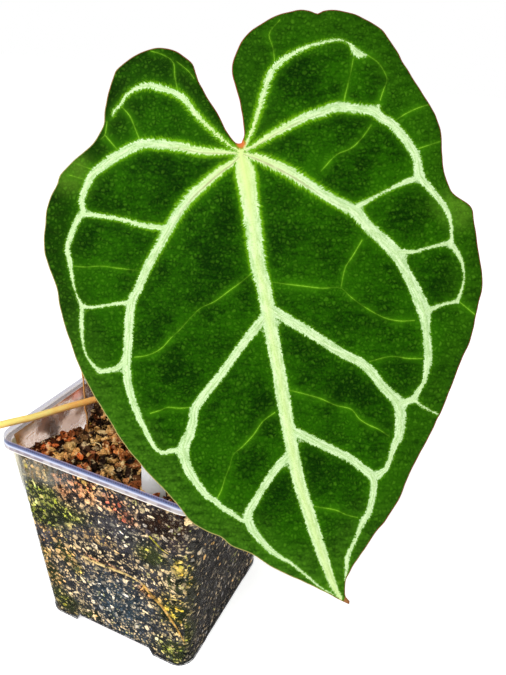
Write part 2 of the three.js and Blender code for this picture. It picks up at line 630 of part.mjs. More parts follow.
// The points that the blade is split at: its margin, each vein's middle and two sides, and a loose grid
function bladePoints(margin, veinLines) {
  const points = [...margin];
  const offer = (point, apart) => {
    if (!insideOutline(point, margin) || distanceToOutline(point, margin) < 0.62 * MARGIN_STEP) return;
    if (points.some((other) => Math.hypot(other.x - point.x, other.y - point.y) < apart)) return;
    points.push(point);
  };
  for (const line of veinLines) for (const knot of line) offer({ x: knot.x, y: knot.y }, 0.45 * VEIN_STEP);
  for (const line of veinLines) {
    for (let i = 1; i + 1 < line.length; i++) {
      const [before, after] = [line[i - 1], line[i + 1]];
      const along = new THREE.Vector2(after.x - before.x, after.y - before.y).normalize();
      for (const side of [-0.5, 0.5]) {
        const x = line[i].x - side * line[i].z * along.y;
        const y = line[i].y + side * line[i].z * along.x;
        if (nearestVein({ x, y }, veinLines).share > 0.9) offer({ x, y }, 0.2 * VEIN_STEP);
      }
    }
  }
  const random = randomFrom(BLADE_SEED);
  const rise = BLADE_GRID * Math.sqrt(0.75);
  for (let row = GRID_ROWS[0]; row <= GRID_ROWS[1]; row++) {
    for (let column = GRID_COLUMNS[0]; column <= GRID_COLUMNS[1]; column++) {
      const x = BLADE_GRID * (column + (row % 2 ? 0.5 : 0)) + 0.2 * random();
      const y = rise * row + 0.2 * random();
      offer({ x, y }, 0.62 * BLADE_GRID);
    }
  }
  return points;
}

// How far the blade stands in front of its own flat plane: its sides, tip and lobes fall back, its margin
// waves, and it swells between the veins
function bladeBow(u, v, veinGap) {
  const length = Math.hypot(TIP.u, TIP.v);
  const along = (u * TIP.u + v * TIP.v) / length;
  const across = (u * -TIP.v + v * TIP.u) / length;
  const side = SIDE_DROP * (across / 75) ** 2;
  const end = along > 0 ? TIP_DROP * (along / length) ** 2 : LOBE_DROP * (along / 50) ** 2;
  const wave = MARGIN_WAVE * (across / 70) ** 2 * Math.sin(along / 11 + (across > 0 ? 0.8 : 2.4));
  return wave - side - end + QUILT * (1 - Math.exp(-veinGap / 6));
}

function blade() {
  const left = alongCurve(LEFT_MARGIN, MARGIN_STEP);
  const right = alongCurve(RIGHT_MARGIN, MARGIN_STEP);
  const margin = [...left.slice(0, -1), ...right.slice(0, -1)].map(({ x, y }) => ({ x, y }));
  const veinLines = Object.values(VEINS).map((vein) => alongCurve(vein, VEIN_STEP));
  const points = bladePoints(margin, veinLines);
  const onMargin = (i) => i < margin.length;
  const triangles = delaunay(points).filter((corners) => {
    const x = corners.reduce((sum, i) => sum + points[i].x / 3, 0);
    const y = corners.reduce((sum, i) => sum + points[i].y / 3, 0);
    return insideOutline({ x, y }, margin);
  });
  const upper = [];
  const lower = [];
  points.forEach((point, i) => {
    const near = nearestVein(point, veinLines);
    const gap = Math.max(0, near.distance - near.width / 2);
    const bow = bladeBow(point.x, point.y, onMargin(i) ? 0 : gap);
    const ridge = onMargin(i) ? 0 : Math.max(0, 1 - near.share) * Math.min(1, near.width / 4);
    const reach = 1 - bow / SIGHT.distance;
    const u = SIGHT.u + (point.x - SIGHT.u) * reach;
    const v = SIGHT.v + (point.y - SIGHT.v) * reach;
    upper.push(new THREE.Vector3(u, v, bow + BLADE_THICKNESS / 2 + UPPER_RIDGE * ridge));
    lower.push(new THREE.Vector3(u, v, bow - BLADE_THICKNESS / 2 - LOWER_RIDGE * ridge));
  });
  const count = points.length;
  const faces = [];
  for (const [a, b, c] of triangles) faces.push([a, b, c], [a + count, c + count, b + count]);
  const back = new Set(triangles.flatMap(([a, b, c]) => [`${b},${a}`, `${c},${b}`, `${a},${c}`]));
  for (const [a, b, c] of triangles) {
    for (const [from, to] of [[a, b], [b, c], [c, a]]) {
      if (back.has(`${from},${to}`)) continue;
      faces.push([to, from, from + count], [to, from + count, to + count]);
    }
  }
  return meshGeometry([...upper, ...lower], faces);
}

// The blade's own axes, right, up and out of its face, at the junction in the pot's frame
function leafPlace() {
  return new THREE.Matrix4()
    .makeTranslation(JUNCTION.x, JUNCTION.y, JUNCTION.z)
    .multiply(new THREE.Matrix4().makeRotationZ(LEAF_TURN))
    .multiply(new THREE.Matrix4().makeRotationX(Math.PI / 2 - LEAF_LEAN))
    .multiply(new THREE.Matrix4().makeRotationZ(LEAF_ROLL));
}

// The petiole stands on the crown and bends over to meet the blade from behind, thickening at each end
function petiole() {
  const out = new THREE.Vector3(0, 0, 1).transformDirection(leafPlace());
  const behind = (reach, drop) => {
    const point = JUNCTION.clone().addScaledVector(out, -reach);
    point.z -= drop;
    return point;
  };
  const foot = new THREE.Vector3(0, 0, STEM_TOP + GAP);
  const route = [
    foot,
    new THREE.Vector3(0.4, 0.8, STEM_TOP + 12),
    new THREE.Vector3(5, 7, 135),
    new THREE.Vector3(15, 13, 175),
    new THREE.Vector3(26, 13.5, 203),
    behind(13, 4.5),
    behind(6.5, 1.2),
    behind(0.6, 0.2),
  ];
  const r = PETIOLE_RADIUS;
  const pulvinus = [PULVINUS_RADIUS, PULVINUS_RADIUS, 0.8 * PULVINUS_RADIUS];
  const radii = [1.6 * r, 1.2 * r, r, r, r, 0.98 * r, 0.98 * r, r, r, 1.1 * r, ...pulvinus];
  return solidOf(rod(route, radii, 10, 40));
}

function leaf() {
  const placed = solidOf(blade().applyMatrix4(leafPlace()));
  return largestBody(placed.add(petiole()));
}

const FINISH = {
  pot: { color: 0xdfe3ee, roughness: 0.12, metalness: 0, transparent: true, opacity: 0.35 },
  mix: { color: 0x5f4228, roughness: 0.95, metalness: 0 },
  crown: { color: 0x6a4a2c, roughness: 0.85, metalness: 0 },
  leaf: { color: 0x1f5c12, roughness: 0.6, metalness: 0 },
  yellow: { color: 0xe8cf6a, roughness: 0.5, metalness: 0 },
  dry: { color: 0x7a4b28, roughness: 0.8, metalness: 0 },
  white: { color: 0xf2f1ee, roughness: 0.4, metalness: 0 },
};

function meshOf(name, solid, finish) {
  const mesh = new THREE.Mesh(geometryOf(solid), new THREE.MeshStandardMaterial(finish));
  mesh.name = name;
  return mesh;
}

const plant = new THREE.Group();
plant.add(
  meshOf("crown", crown(), FINISH.crown),
  meshOf("leaf", leaf(), FINISH.leaf),
  meshOf("old_petiole", oldPetiole(), FINISH.yellow),
  meshOf("dry_bract", dryBract(), FINISH.dry),
);

const holder = new THREE.Group();
holder.add(
  meshOf("pot", potBody(), FINISH.pot),
  meshOf("potting_mix", pottingMix(), FINISH.mix),
  meshOf("plant_label", plantLabel(), FINISH.white),
);

const potted = new THREE.Group();
potted.name = "potted_crystal_anthurium";
potted.position.copy(POT_AXIS);
potted.add(holder, plant);

const anthurium = new THREE.Group();
anthurium.add(potted);

export default anthurium;
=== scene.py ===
"""A crystal anthurium in a clear square nursery pot, dressed for a picture.

Every stalk, bract and grain of the mix is a mesh in metres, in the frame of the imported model. Sizes are in
millimetres about the pot's upright axis, and turns in degrees, until a piece is finished.
"""

import logging
import math
from collections import defaultdict
from collections.abc import Callable, Iterable, Iterator, Sequence
from dataclasses import dataclass
from enum import Enum

import bmesh
import bpy
import numpy as np
from mathutils import Matrix, Quaternion, Vector, noise
from mathutils.geometry import delaunay_2d_cdt


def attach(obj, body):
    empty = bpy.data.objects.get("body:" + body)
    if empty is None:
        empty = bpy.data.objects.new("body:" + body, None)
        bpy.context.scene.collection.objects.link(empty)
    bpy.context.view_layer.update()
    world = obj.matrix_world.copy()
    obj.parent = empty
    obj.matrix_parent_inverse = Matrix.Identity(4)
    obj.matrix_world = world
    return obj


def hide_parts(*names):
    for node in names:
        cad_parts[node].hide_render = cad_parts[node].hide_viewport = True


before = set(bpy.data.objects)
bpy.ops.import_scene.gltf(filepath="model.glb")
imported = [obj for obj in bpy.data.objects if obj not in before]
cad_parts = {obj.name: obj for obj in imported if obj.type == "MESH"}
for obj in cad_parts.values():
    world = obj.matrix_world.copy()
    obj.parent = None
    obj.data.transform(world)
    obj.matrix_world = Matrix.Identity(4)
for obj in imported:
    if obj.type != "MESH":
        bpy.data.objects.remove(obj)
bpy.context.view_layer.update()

log = logging.getLogger("anthurium")

MM = 0.001
SHEET_MM = 0.01
POT_AXIS = Vector((-31.4, 4.1, 0.0))
TO_ROW = Matrix.Scale(MM, 4) @ Matrix.Translation(POT_AXIS)
WHITE = (1.0, 1.0, 1.0, 1.0)

Colour = tuple[float, float, float, float]
Knot = tuple[float, ...]
Material = bpy.types.Material
Piece = bpy.types.Object
Work = bmesh.types.BMesh
Lines = list[np.ndarray]


def srgb(red: float, green: float, blue: float) -> Colour:
    """The linear colour of three display levels between 0 and 255.

    Args:
        red: Display level of red.
        green: Display level of green.
        blue: Display level of blue.

    Returns:
        The colour with an alpha of 1.
    """

    def linear(level: float) -> float:
        """One level as a share of full light."""
        share = level / 255.0
        return share / 12.92 if share <= 0.04045 else ((share + 0.055) / 1.055) ** 2.4

    return (linear(red), linear(green), linear(blue), 1.0)


def mixed(first: Colour, second: Colour, share: float) -> Colour:
    """The colour that lies a share of the way from the first to the second."""
    return tuple(a + (b - a) * share for a, b in zip(first, second))


def posed(place: Sequence[float], turn: float, lean: float, roll: float) -> Matrix:
    """A place turned about the upright, leant back and rolled in its own plane.

    Args:
        place: The place.
        turn: Degrees about the upright.
        lean: Degrees that it leans.
        roll: Degrees that it is rolled.

    Returns:
        Its matrix.
    """
    whole = Matrix.Translation(place)
    for degrees, axis in ((turn, "Z"), (90.0 - lean, "X"), (roll, "Z")):
        whole = whole @ Matrix.Rotation(math.radians(degrees), 4, axis)
    return whole


def shown(name: str, data: bpy.types.ID) -> Piece:
    """Puts an object with the data into the scene.

    Args:
        name: The object's name.
        data: Its mesh, lamp or lens.

    Returns:
        The object.
    """
    thing = bpy.data.objects.new(name, data)
    bpy.context.scene.collection.objects.link(thing)
    return thing


@dataclass(frozen=True)
class Viewpoint:
    """Where the photograph was taken from, in the row frame, fitted to the pot's edges."""

    place: Knot = (99.74, -195.18, 258.55)
    turn: float = 23.42
    lean: float = 26.52
    roll: float = 3.23
    focal_px: float = 634.84
    frame_height_px: float = 675.0
    sensor_mm: float = 36.0

    def build(self) -> None:
        """Makes the camera and sets it as the scene's own."""
        lens = bpy.data.cameras.new("viewpoint")
        lens.sensor_width = self.sensor_mm
        lens.lens = self.sensor_mm * self.focal_px / self.frame_height_px
        lens.clip_start = 0.01
        camera = shown("viewpoint", lens)
        camera.matrix_world = posed(Vector(self.place) * MM, self.turn, self.lean, self.roll)
        bpy.context.scene.camera = camera


@dataclass(frozen=True)
class PotShape:
    """The sizes of the clear pot, shared by the pot, its plastic and what fills it."""

    height: float = 101.8
    base_half: float = 38.5
    top_half: float = 45.0
    base_corner: float = 8.0
    top_corner: float = 9.0
    wall: float = 0.3
    flange_foot: float = 95.8
    flange_half: float = 47.0
    flange_corner: float = 8.0
    rim_foot: float = 97.1
    rim_wall: float = 0.75
    ledge: float = 99.1
    floor: float = 0.35
    foot_rise: float = 4.5
    side_rise: float = 0.9
    foot_gap_half: float = 20.5
    foot_draft: float = 1.3
    drain_radius: float = 3.0
    drain_ring: float = 15.0
    foot_drain: float = 27.0

    def underside(self, x: float, y: float) -> float:
        """The height of the floor's lower face, which slopes down into the four feet.

        Args:
            x: The place's x.
            y: Its y.

        Returns:
            The height.
        """
        edge = self.foot_gap_half + 0.5 * self.foot_draft
        heights = [0.0]
        for rise, off in ((self.foot_rise, abs(x)), (self.side_rise, abs(y))):
            heights.append(min(rise, 2 * rise / (3 * self.foot_draft) * (edge - off)))
        return max(heights)

    def half_at(self, z: float) -> float:
        """Half the pot's outer width at a height."""
        return self.base_half + (self.top_half - self.base_half) * z / self.flange_foot

    def corner_at(self, z: float) -> float:
        """The outer corner's radius at a height."""
        return self.base_corner + (self.top_corner - self.base_corner) * z / self.flange_foot

    def inside(self, z: float, inset: float, run: float) -> tuple[Vector, Vector, int]:
        """A place just inside the pot's outer face.

        Args:
            z: Its height.
            inset: How far inside it lies.
            run: The share of the way round, from the middle of the front, towards +X.

        Returns:
            The place, its outward direction, and the side's number: front, right, back and left.
        """
        half, corner = self.half_at(z) - inset, self.corner_at(z) - inset
        flat = 2 * (half - corner)
        arc = math.pi / 2 * corner
        quarter = int(run * 4 + 0.5) % 4
        local = (run * 4 + 0.5) % 1.0 * (flat + arc) - (flat + arc) / 2
        if abs(local) <= flat / 2:
            point, out = Vector((local, -half, 0.0)), Vector((0.0, -1.0, 0.0))
        else:
            angle = (abs(local) - flat / 2) / corner * math.copysign(1.0, local)
            out = Vector((math.sin(angle), -math.cos(angle), 0.0))
            point = Vector((math.copysign(flat / 2, local), -(half - corner), 0.0)) + out * corner
        turn = Matrix.Rotation(math.pi / 2 * quarter, 3, "Z")
        return turn @ point, turn @ out, quarter


POT = PotShape()


# Shader maths


def math_node(operation: str, flipped: bool = False) -> Callable[..., "Field"]:
    """A method that sends a field, and what it is joined with, through a Math node.

    Args:
        operation: The Math node's operation.
        flipped: Whether the field comes last.

    Returns:
        The method.
    """

    def apply(self: "Field", *others: "Field | float") -> "Field":
        """The Math node's result."""
        values = (*others, self) if flipped else (self, *others)
        node = self.board.node("ShaderNodeMath", {"operation": operation}, dict(enumerate(values)))
        return self.board.out(node)

    return apply


@dataclass(frozen=True)
class Field:
    """A value or colour that varies over a surface, used in Python expressions."""

    board: "Board"
    socket: bpy.types.NodeSocket

    __add__ = math_node("ADD")
    __radd__ = math_node("ADD", flipped=True)
    __sub__ = math_node("SUBTRACT")
    __rsub__ = math_node("SUBTRACT", flipped=True)
    __mul__ = math_node("MULTIPLY")
    __rmul__ = math_node("MULTIPLY", flipped=True)
    __pow__ = math_node("POWER")
    __abs__ = math_node("ABSOLUTE")
    least = math_node("MINIMUM")
    most = math_node("MAXIMUM")
    sine = math_node("SINE")

    def rise(self, low: float, high: float) -> "Field":
        """0 below low, 1 above high and smooth between."""
        settings = {"interpolation_type": "SMOOTHSTEP"}
        return self.board.out(self.board.node("ShaderNodeMapRange", settings, {0: self, 1: low, 2: high}))

    def fall(self, low: float, high: float) -> "Field":
        """1 below low, 0 above high and smooth between."""
        return 1.0 - self.rise(low, high)


Tint = Field | Colour


class Board:
    """The node tree of one material or world, with a method for each kind of pattern."""

    def __init__(self, owner: Material | bpy.types.World) -> None:
        """Starts an empty tree for its owner."""
        owner.use_nodes = True
        self.owner = owner
        self.tree = owner.node_tree
        self.tree.nodes.clear()

    @classmethod
    def for_material(cls, name: str) -> "Board":
        """The board of a new material."""
        return cls(bpy.data.materials.new(name))

    def node(self, kind: str, settings: dict | None = None, inputs: dict | None = None) -> bpy.types.Node:
        """Makes a node.

        Args:
            kind: The node's type.
            settings: Its own settings, which are set first.
            inputs: Values or fields by socket name or number.

        Returns:
            The node.
        """
        node = self.tree.nodes.new(kind)
        for key, value in (settings or {}).items():
            setattr(node, key, value)
        for key, value in (inputs or {}).items():
            if isinstance(value, Field):
                self.tree.links.new(value.socket, node.inputs[key])
            else:
                node.inputs[key].default_value = value
        return node

    def out(self, node: bpy.types.Node, key: int | str = 0) -> Field:
        """One output of a node as a field."""
        return Field(self, node.outputs[key])

    def place(self) -> Field:
        """The point's place in the object's own axes."""
        return self.out(self.node("ShaderNodeTexCoord"), "Object")

    def parts(self, vector: Field) -> tuple[Field, ...]:
        """The three numbers of a vector field."""
        split = self.node("ShaderNodeSeparateXYZ", None, {0: vector})
        return tuple(self.out(split, number) for number in range(3))

    def pot_place(self) -> tuple[Field, Field, Field]:
        """The point's place from the pot's axis and its height, in millimetres."""
        x, y, z = self.parts(self.place())
        return x * 1000.0 - POT_AXIS.x, y * 1000.0 - POT_AXIS.y, z * 1000.0

    def vector(self, x: Field | float, y: Field | float, z: Field | float) -> Field:
        """A vector field of three numbers."""
        return self.out(self.node("ShaderNodeCombineXYZ", None, {0: x, 1: y, 2: z}))

    def upward(self) -> Field:
        """How much the surface itself, without any bump, faces up."""
        return self.parts(self.out(self.node("ShaderNodeNewGeometry"), "Normal"))[2]

    def sheet_place(self, name: str) -> Field:
        """The point's place on a piece's own UV map."""
        return self.out(self.node("ShaderNodeUVMap", {"uv_map": name}))

    def measure(self, name: str, output: str = "Fac") -> Field:
        """A number that the mesh holds at each point, or a colour from the output Color."""
        settings = {"attribute_type": "GEOMETRY", "attribute_name": name}
        return self.out(self.node("ShaderNodeAttribute", settings), output)

    def measures(self, *names: str) -> tuple[Field, ...]:
        """Several numbers that the mesh holds at each point."""
        return tuple(self.measure(name) for name in names)

    def stretched(self, vector: Field, stretch: Knot, turn: Knot = (0.0, 0.0, 0.0)) -> Field:
        """A vector field turned, then stretched along its own axes."""
        inputs = {"Vector": vector, "Rotation": turn, "Scale": stretch}
        return self.out(self.node("ShaderNodeMapping", None, inputs))

    def cloud(self, vector: Field, size: float, detail: float = 2.0, rough: float = 0.5) -> Field:
        """Soft noise.

        Args:
            vector: Where it is read.
            size: The size of its lumps, in the vector's unit.
            detail: How many finer layers it has.
            rough: How strong those layers are.

        Returns:
            A field from about 0.25 to 0.75.
        """
        inputs = {"Vector": vector, "Scale": 1.0 / size, "Detail": detail, "Roughness": rough}
        return self.out(self.node("ShaderNodeTexNoise", None, inputs))

    def warped(self, vector: Field, scale: float, detail: float, reach: Knot) -> Field:
        """A vector field pushed about by soft noise, so that what reads it bends.

        Args:
            vector: The vector field.
            scale: The noise's scale.
            detail: How many finer layers it has.
            reach: How far it pushes along each axis.

        Returns:
            The bent field.
        """
        push = self.node("ShaderNodeTexNoise", None, {"Vector": vector, "Scale": scale, "Detail": detail})
        inputs = {0: self.out(push, "Color"), 1: reach, 2: vector}
        return self.out(self.node("ShaderNodeVectorMath", {"operation": "MULTIPLY_ADD"}, inputs))

    def cells(self, vector: Field, size: float, feature: str = "F1", random: float = 1.0) -> bpy.types.Node:
        """The texture node of irregular cells of about that size, with uneven shapes."""
        inputs = {"Vector": vector, "Scale": 1.0 / size, "Randomness": random}
        return self.node("ShaderNodeTexVoronoi", {"feature": feature}, inputs)

    def cell_walls(self, vector: Field, size: float, random: float) -> Field:
        """The distance to the nearest wall between irregular cells."""
        return self.out(self.cells(vector, size, "DISTANCE_TO_EDGE", random), "Distance")

    def blend(self, share: Field | float, first: Tint, second: Tint) -> Field:
        """A colour that goes from the first to the second with the share."""
        inputs = {0: share, 6: first, 7: second}
        return self.out(self.node("ShaderNodeMix", {"data_type": "RGBA"}, inputs), 2)

    def coated(self, base: Tint, *coats: tuple[Field | float, Tint]) -> Field:
        """A colour with others laid over it.

        Args:
            base: The colour below.
            *coats: The share and the colour of each, the lowest first.

        Returns:
            The whole colour.
        """
        for share, coat in coats:
            base = self.blend(share, base, coat)
        return base

    def shade(self, colour: Tint, strength: Field) -> Field:
        """A colour made lighter or darker by a number."""
        inputs = {0: 1.0, 6: colour, 7: self.vector(strength, strength, strength)}
        settings = {"data_type": "RGBA", "blend_type": "MULTIPLY"}
        return self.out(self.node("ShaderNodeMix", settings, inputs), 2)

    def relief(self, height: Field, depth: float, strength: float = 1.0) -> Field:
        """A normal bumped by a height pattern, whose 1 stands for a depth in metres."""
        inputs = {"Strength": strength, "Distance": depth, "Height": height}
        return self.out(self.node("ShaderNodeBump", None, inputs))

    def finish(self, **inputs: Field | float | Colour) -> Material:
        """Ends the tree in one shader.

        Args:
            **inputs: The shader's sockets, with _ for a space.

        Returns:
            The material.
        """
        named = {key.replace("_", " "): value for key, value in inputs.items()}
        shader = self.node("ShaderNodeBsdfPrincipled", None, named)
        self.node("ShaderNodeOutputMaterial", None, {0: self.out(shader)})
        return self.owner


def far(x: Field, y: Field) -> Field:
    """The distance that two distances square to each other make."""
    return (x * x + y * y) ** 0.5


# Finishes


@dataclass(frozen=True)
class VelvetUpperFinish:
    """The leaf's face: dark green velvet cells with a painted highlight on each cell's top and painted shade
    in the grooves between them, two patches of painted sheen, pale feathered veins and a reddish margin.
    """

    deep: Colour = srgb(6, 38, 0)
    green: Colour = srgb(36, 91, 0)
    # painted highlight on the top of each velvet cell
    cell_highlight: Colour = srgb(92, 152, 28)
    halo: Colour = srgb(112, 172, 14)
    glow: Colour = srgb(60, 124, 6)
    lobe_rim: Colour = srgb(16, 40, 2)
    left_rim: Colour = srgb(62, 110, 18)
    # painted sheen: a paler blue-green where the blade catches the light
    painted_sheen: Colour = srgb(104, 156, 36)
    right_rim: Colour = srgb(42, 90, 4)
    vein: Colour = srgb(212, 236, 186)
    vein_shade: Colour = srgb(154, 192, 120)
    vein_yellow: Colour = srgb(208, 230, 142)
    rib_shadow: Colour = srgb(166, 160, 120)
    thin_vein: Colour = srgb(138, 198, 52)
    margin: Colour = srgb(150, 66, 44)
    margin_tan: Colour = srgb(186, 172, 104)
    notch: Colour = srgb(214, 112, 62)
    sheen_patches: tuple[tuple[float, float, float], ...] = ((-0.56, -0.07, 0.11), (0.72, -0.19, 0.1))

    def material(self) -> Material:
        """Makes the material, which reads the blade's own map and measures.

        Returns:
            The material.
        """
        board = Board.for_material("velvet_leaf_upper")
        flat = board.sheet_place("leaf_plane")
        across, up, _ = board.parts(flat)
        reach = far(across, up)
        gap, middle, side, along = board.measures("vein_gap", "vein_middle", "vein_side", "vein_along")
        margin = board.measure("margin_gap")
        fine = board.cloud(flat, 0.9 * SHEET_MM, 3.0, 0.6)

        spikes = board.cloud(board.vector(along - middle * 0.5, side * 0.35, reach), 0.5, 2.0, 0.7)
        ragged = board.cloud(flat, 7 * SHEET_MM, 1.0).rise(0.3, 0.7) + 0.5
        near = reach.fall(0.2, 0.75)
        chips = board.cloud(flat, 1.1 * SHEET_MM, 3.0, 0.7)
        frayed = (spikes - 0.5) * (near * 1.5 + 1.1) * ragged + (chips - 0.5) * 1.5
        feather = gap + near * 0.12 + frayed + 0.08
        surface = board.coated(
            self.lamina(board, flat, margin, fine),
            (gap.fall(0.0, 3.4) * (near * 0.22 + 0.14), self.glow),
            ((feather * (1.9 - near)).fall(-0.1, 1.5) * (near * 0.5 + 0.4), self.halo),
        )
        wide = board.cloud(flat, 14 * SHEET_MM, 2.0)
        ruddy = (across * 0.8 + up * 0.35 + (wide - 0.5) * 0.6).rise(-0.45, 0.0)
        hem = board.blend(ruddy, self.margin_tan, self.margin)
        surface = board.coated(
            self.thin_veins(board, surface, flat, fine),
            (feather.fall(-0.18, 0.22), self.vein_face(board, reach, middle, side, along)),
            ((margin + (fine - 0.5) * 0.4).fall(0.1, 0.4) * 0.85, hem),
            (far(across - 0.004, up - 0.027).fall(0.006, 0.022) * 0.9, self.notch),
        )
        walls = board.cell_walls(flat, 1.6 * SHEET_MM, 0.85)
        height = walls.rise(0.0, 0.4) * gap.rise(0.0, 0.6) + fine * 0.3
        return board.finish(
            Base_Color=surface,
            Roughness=0.66 - feather.fall(-0.1, 0.2) * 0.14,
            Normal=board.relief(height, 0.00012, 0.5),
            Specular_IOR_Level=0.02,
            Sheen_Weight=0.02,
            Sheen_Roughness=0.5,
            Sheen_Tint=srgb(130, 220, 60),
        )

    def lamina(self, board: Board, flat: Field, margin: Field, fine: Field) -> Field:
        """The velvet between the veins, with painted highlights on the cell tops, painted shade between the
        cells and painted sheen patches.

        Args:
            board: The material's board.
            flat: The place on the blade's own map.
            margin: The distance to the margin.
            fine: Fine noise.

        Returns:
            Its colour.
        """
        across, up, _ = board.parts(flat)
        clouds = board.cloud(flat, 17 * SHEET_MM, 3.0, 0.5)
        folded = board.stretched(flat, (0.35, 1.0, 1.0), (0.0, 0.0, 0.25))
        creases = board.cloud(folded, 1.6 * SHEET_MM, 3.0, 0.6)
        bent = board.warped(flat, 70.0, 1.0, (0.006, 0.006, 0.0))
        inside = board.cell_walls(bent, 1.4 * SHEET_MM, 0.9).rise(0.0, 0.4)
        chance, other, _ = board.parts(board.out(board.cells(bent, 1.4 * SHEET_MM, "F1", 0.9), "Color"))
        near_margin = (margin + (clouds - 0.5) * 12.0).fall(2.0, 16.0)
        left = board.blend(up.fall(-0.85, -0.35), self.lobe_rim, self.left_rim)
        rim = board.blend((across + up * 0.3).rise(-0.2, 0.25), left, self.right_rim)
        shallow = (clouds + (creases - 0.5) * 0.6 + (fine - 0.5) * 0.5).rise(0.26, 0.74)
        colour = board.coated(
            board.blend(shallow, self.deep, self.green),
            ((near_margin * (creases.rise(0.35, 0.65) * 0.6 + fine * 0.7)).least(1.0), rim),
        )
        # Painted sheen: soft paler patches where the blade catches the light.
        for x, y, reach in self.sheen_patches:
            off = far(across - x, up - y) + (clouds - 0.5) * 0.1
            sheen_share = off.fall(reach * 0.2, reach) * (0.2 + creases * 0.5)
            colour = board.blend(sheen_share, colour, self.painted_sheen)
        # Painted highlight on the top of each cell, and painted shade in the grooves between the cells.
        lit = inside * (0.03 + chance * 0.34) * (clouds + 0.35) * (0.9 + near_margin * 0.1)
        between = (1.0 - inside) * (0.1 + other * 0.25)
        return board.coated(colour, (lit.least(0.6), self.cell_highlight), (between, self.deep))

    def thin_veins(self, board: Board, surface: Field, flat: Field, fine: Field) -> Field:
        """Lays the fine veins over the velvet.

        Args:
            board: The material's board.
            surface: The velvet's colour.
            flat: The place on the blade's own map.
            fine: Fine noise.

        Returns:
            The colour with them.
        """
        thin = board.measure("thin_gap") + (fine - 0.5) * 0.3
        strength = board.cloud(flat, 7 * SHEET_MM, 2.0).rise(0.34, 0.64) * 0.75 + 0.16
        return board.coated(
            surface,
            (thin.fall(0.0, 3.2) * 0.5 * strength, self.glow),
            (thin.fall(0.0, 0.7) * 0.35 * strength, self.halo),
            (thin.fall(-0.05, 0.2) * strength, self.thin_vein),
        )

    def vein_face(self, board: Board, reach: Field, middle: Field, side: Field, along: Field) -> Field:
        """The pale surface of the main veins.

        Args:
            board: The material's board.
            reach: The distance from the junction, in decimetres.
            middle: The distance to the vein's middle, in mm.
            side: That distance as a share of the half width, signed.
            along: The distance along the vein, in mm.

        Returns:
            Its colour.
        """
        midrib, rib = board.measures("midrib_middle", "vein_rib")
        streaks = board.cloud(board.vector(along * 0.14, side * 1.6, reach), 0.6, 3.0, 0.6)
        dots = board.cloud(board.vector(along, side * 1.5, reach), 0.5, 2.0, 0.6)
        mottle = streaks.rise(0.38, 0.66) * 0.7 + dots.rise(0.45, 0.7) * 0.5
        warm = reach.fall(0.06, 0.3) * 0.45 + midrib.fall(0.3, 2.4) * 0.45 + middle.fall(0.2, 0.7) * 0.1
        thread = side.rise(0.1, 0.4) * side.fall(0.45, 0.8)
        grey = rib * (streaks.rise(0.3, 0.6) * 0.4 + 0.35) * (reach.fall(0.1, 0.4) * 0.6 + 0.4)
        return board.coated(
            self.vein,
            (mottle.least(0.95), self.vein_shade),
            (warm.least(0.9), self.vein_yellow),
            ((thread * grey).least(0.7), self.rib_shadow),
        )


@dataclass(frozen=True)
class VelvetLowerFinish:
    """The leaf's back: paler, matt green with raised pale veins."""

    green: Colour = srgb(96, 138, 74)
    deep: Colour = srgb(66, 112, 50)
    vein: Colour = srgb(196, 214, 150)
    margin: Colour = srgb(168, 104, 66)

    def material(self) -> Material:
        """Makes the material, which reads the blade's own map and measures.

        Returns:
            The material.
        """
        board = Board.for_material("velvet_leaf_lower")
        flat = board.sheet_place("leaf_plane")
        gap, thin, margin = board.measures("vein_gap", "thin_gap", "margin_gap")
        wide = board.cloud(flat, 12 * SHEET_MM, 2.0)
        fine = board.cloud(flat, 0.8 * SHEET_MM, 3.0, 0.6)
        walls = board.cell_walls(flat, 1.75 * SHEET_MM, 0.75)
        surface = board.coated(
            self.deep,
            ((wide + (fine - 0.5) * 0.6).rise(0.3, 0.7), self.green),
            (walls.fall(0.0, 0.16) * 0.2, self.vein),
            ((thin + (fine - 0.5) * 0.2).fall(0.0, 0.4) * 0.8, self.vein),
            ((gap + (fine - 0.5) * 0.5).fall(-0.35, 0.15), self.vein),
            (margin.fall(0.2, 0.5) * 0.8, self.margin),
        )
        return board.finish(
            Base_Color=surface,
            Roughness=0.55 + fine * 0.2,
            Normal=board.relief(walls.rise(0.0, 0.3), 0.0001, 0.5),
            Specular_IOR_Level=0.3,
        )


@dataclass(frozen=True)
class StalkFinish:
    """A living or yellowed stalk, streaked along its length and speckled, with painted shade on the faces
    that look down.

    Its colour changes from old to young between the two shares of its length that change holds.
    """

    name: str
    young: Colour
    old: Colour
    speck: Colour
    # painted shade for the faces that look down
    under: Colour
    change: tuple[float, float]
    rough: float = 0.45

    def material(self) -> Material:
        """Makes the material, which reads the share of the stalk's length.

        Returns:
            The material.
        """
        board = Board.for_material(self.name)
        place = board.place()
        wide = board.cloud(place, 0.006, 2.0)
        fine = board.cloud(place, 0.0006, 3.0, 0.6)
        skin = board.coated(
            self.old,
            ((board.measure("along") + (wide - 0.5) * 0.25).rise(*self.change), self.young),
            ((wide - 0.5).rise(-0.1, 0.25) * 0.3, self.speck),
            (fine.rise(0.62, 0.72) * 0.5, self.speck),
            # Painted shade on the faces that look down.
            (board.upward().fall(-0.7, 0.5) * 0.8, self.under),
        )
        return board.finish(
            Base_Color=skin,
            Roughness=self.rough + fine * 0.2,
            Normal=board.relief(fine, 0.00008, 0.5),
            Specular_IOR_Level=0.4,
            Subsurface_Weight=0.15,
            Subsurface_Scale=0.003,
        )


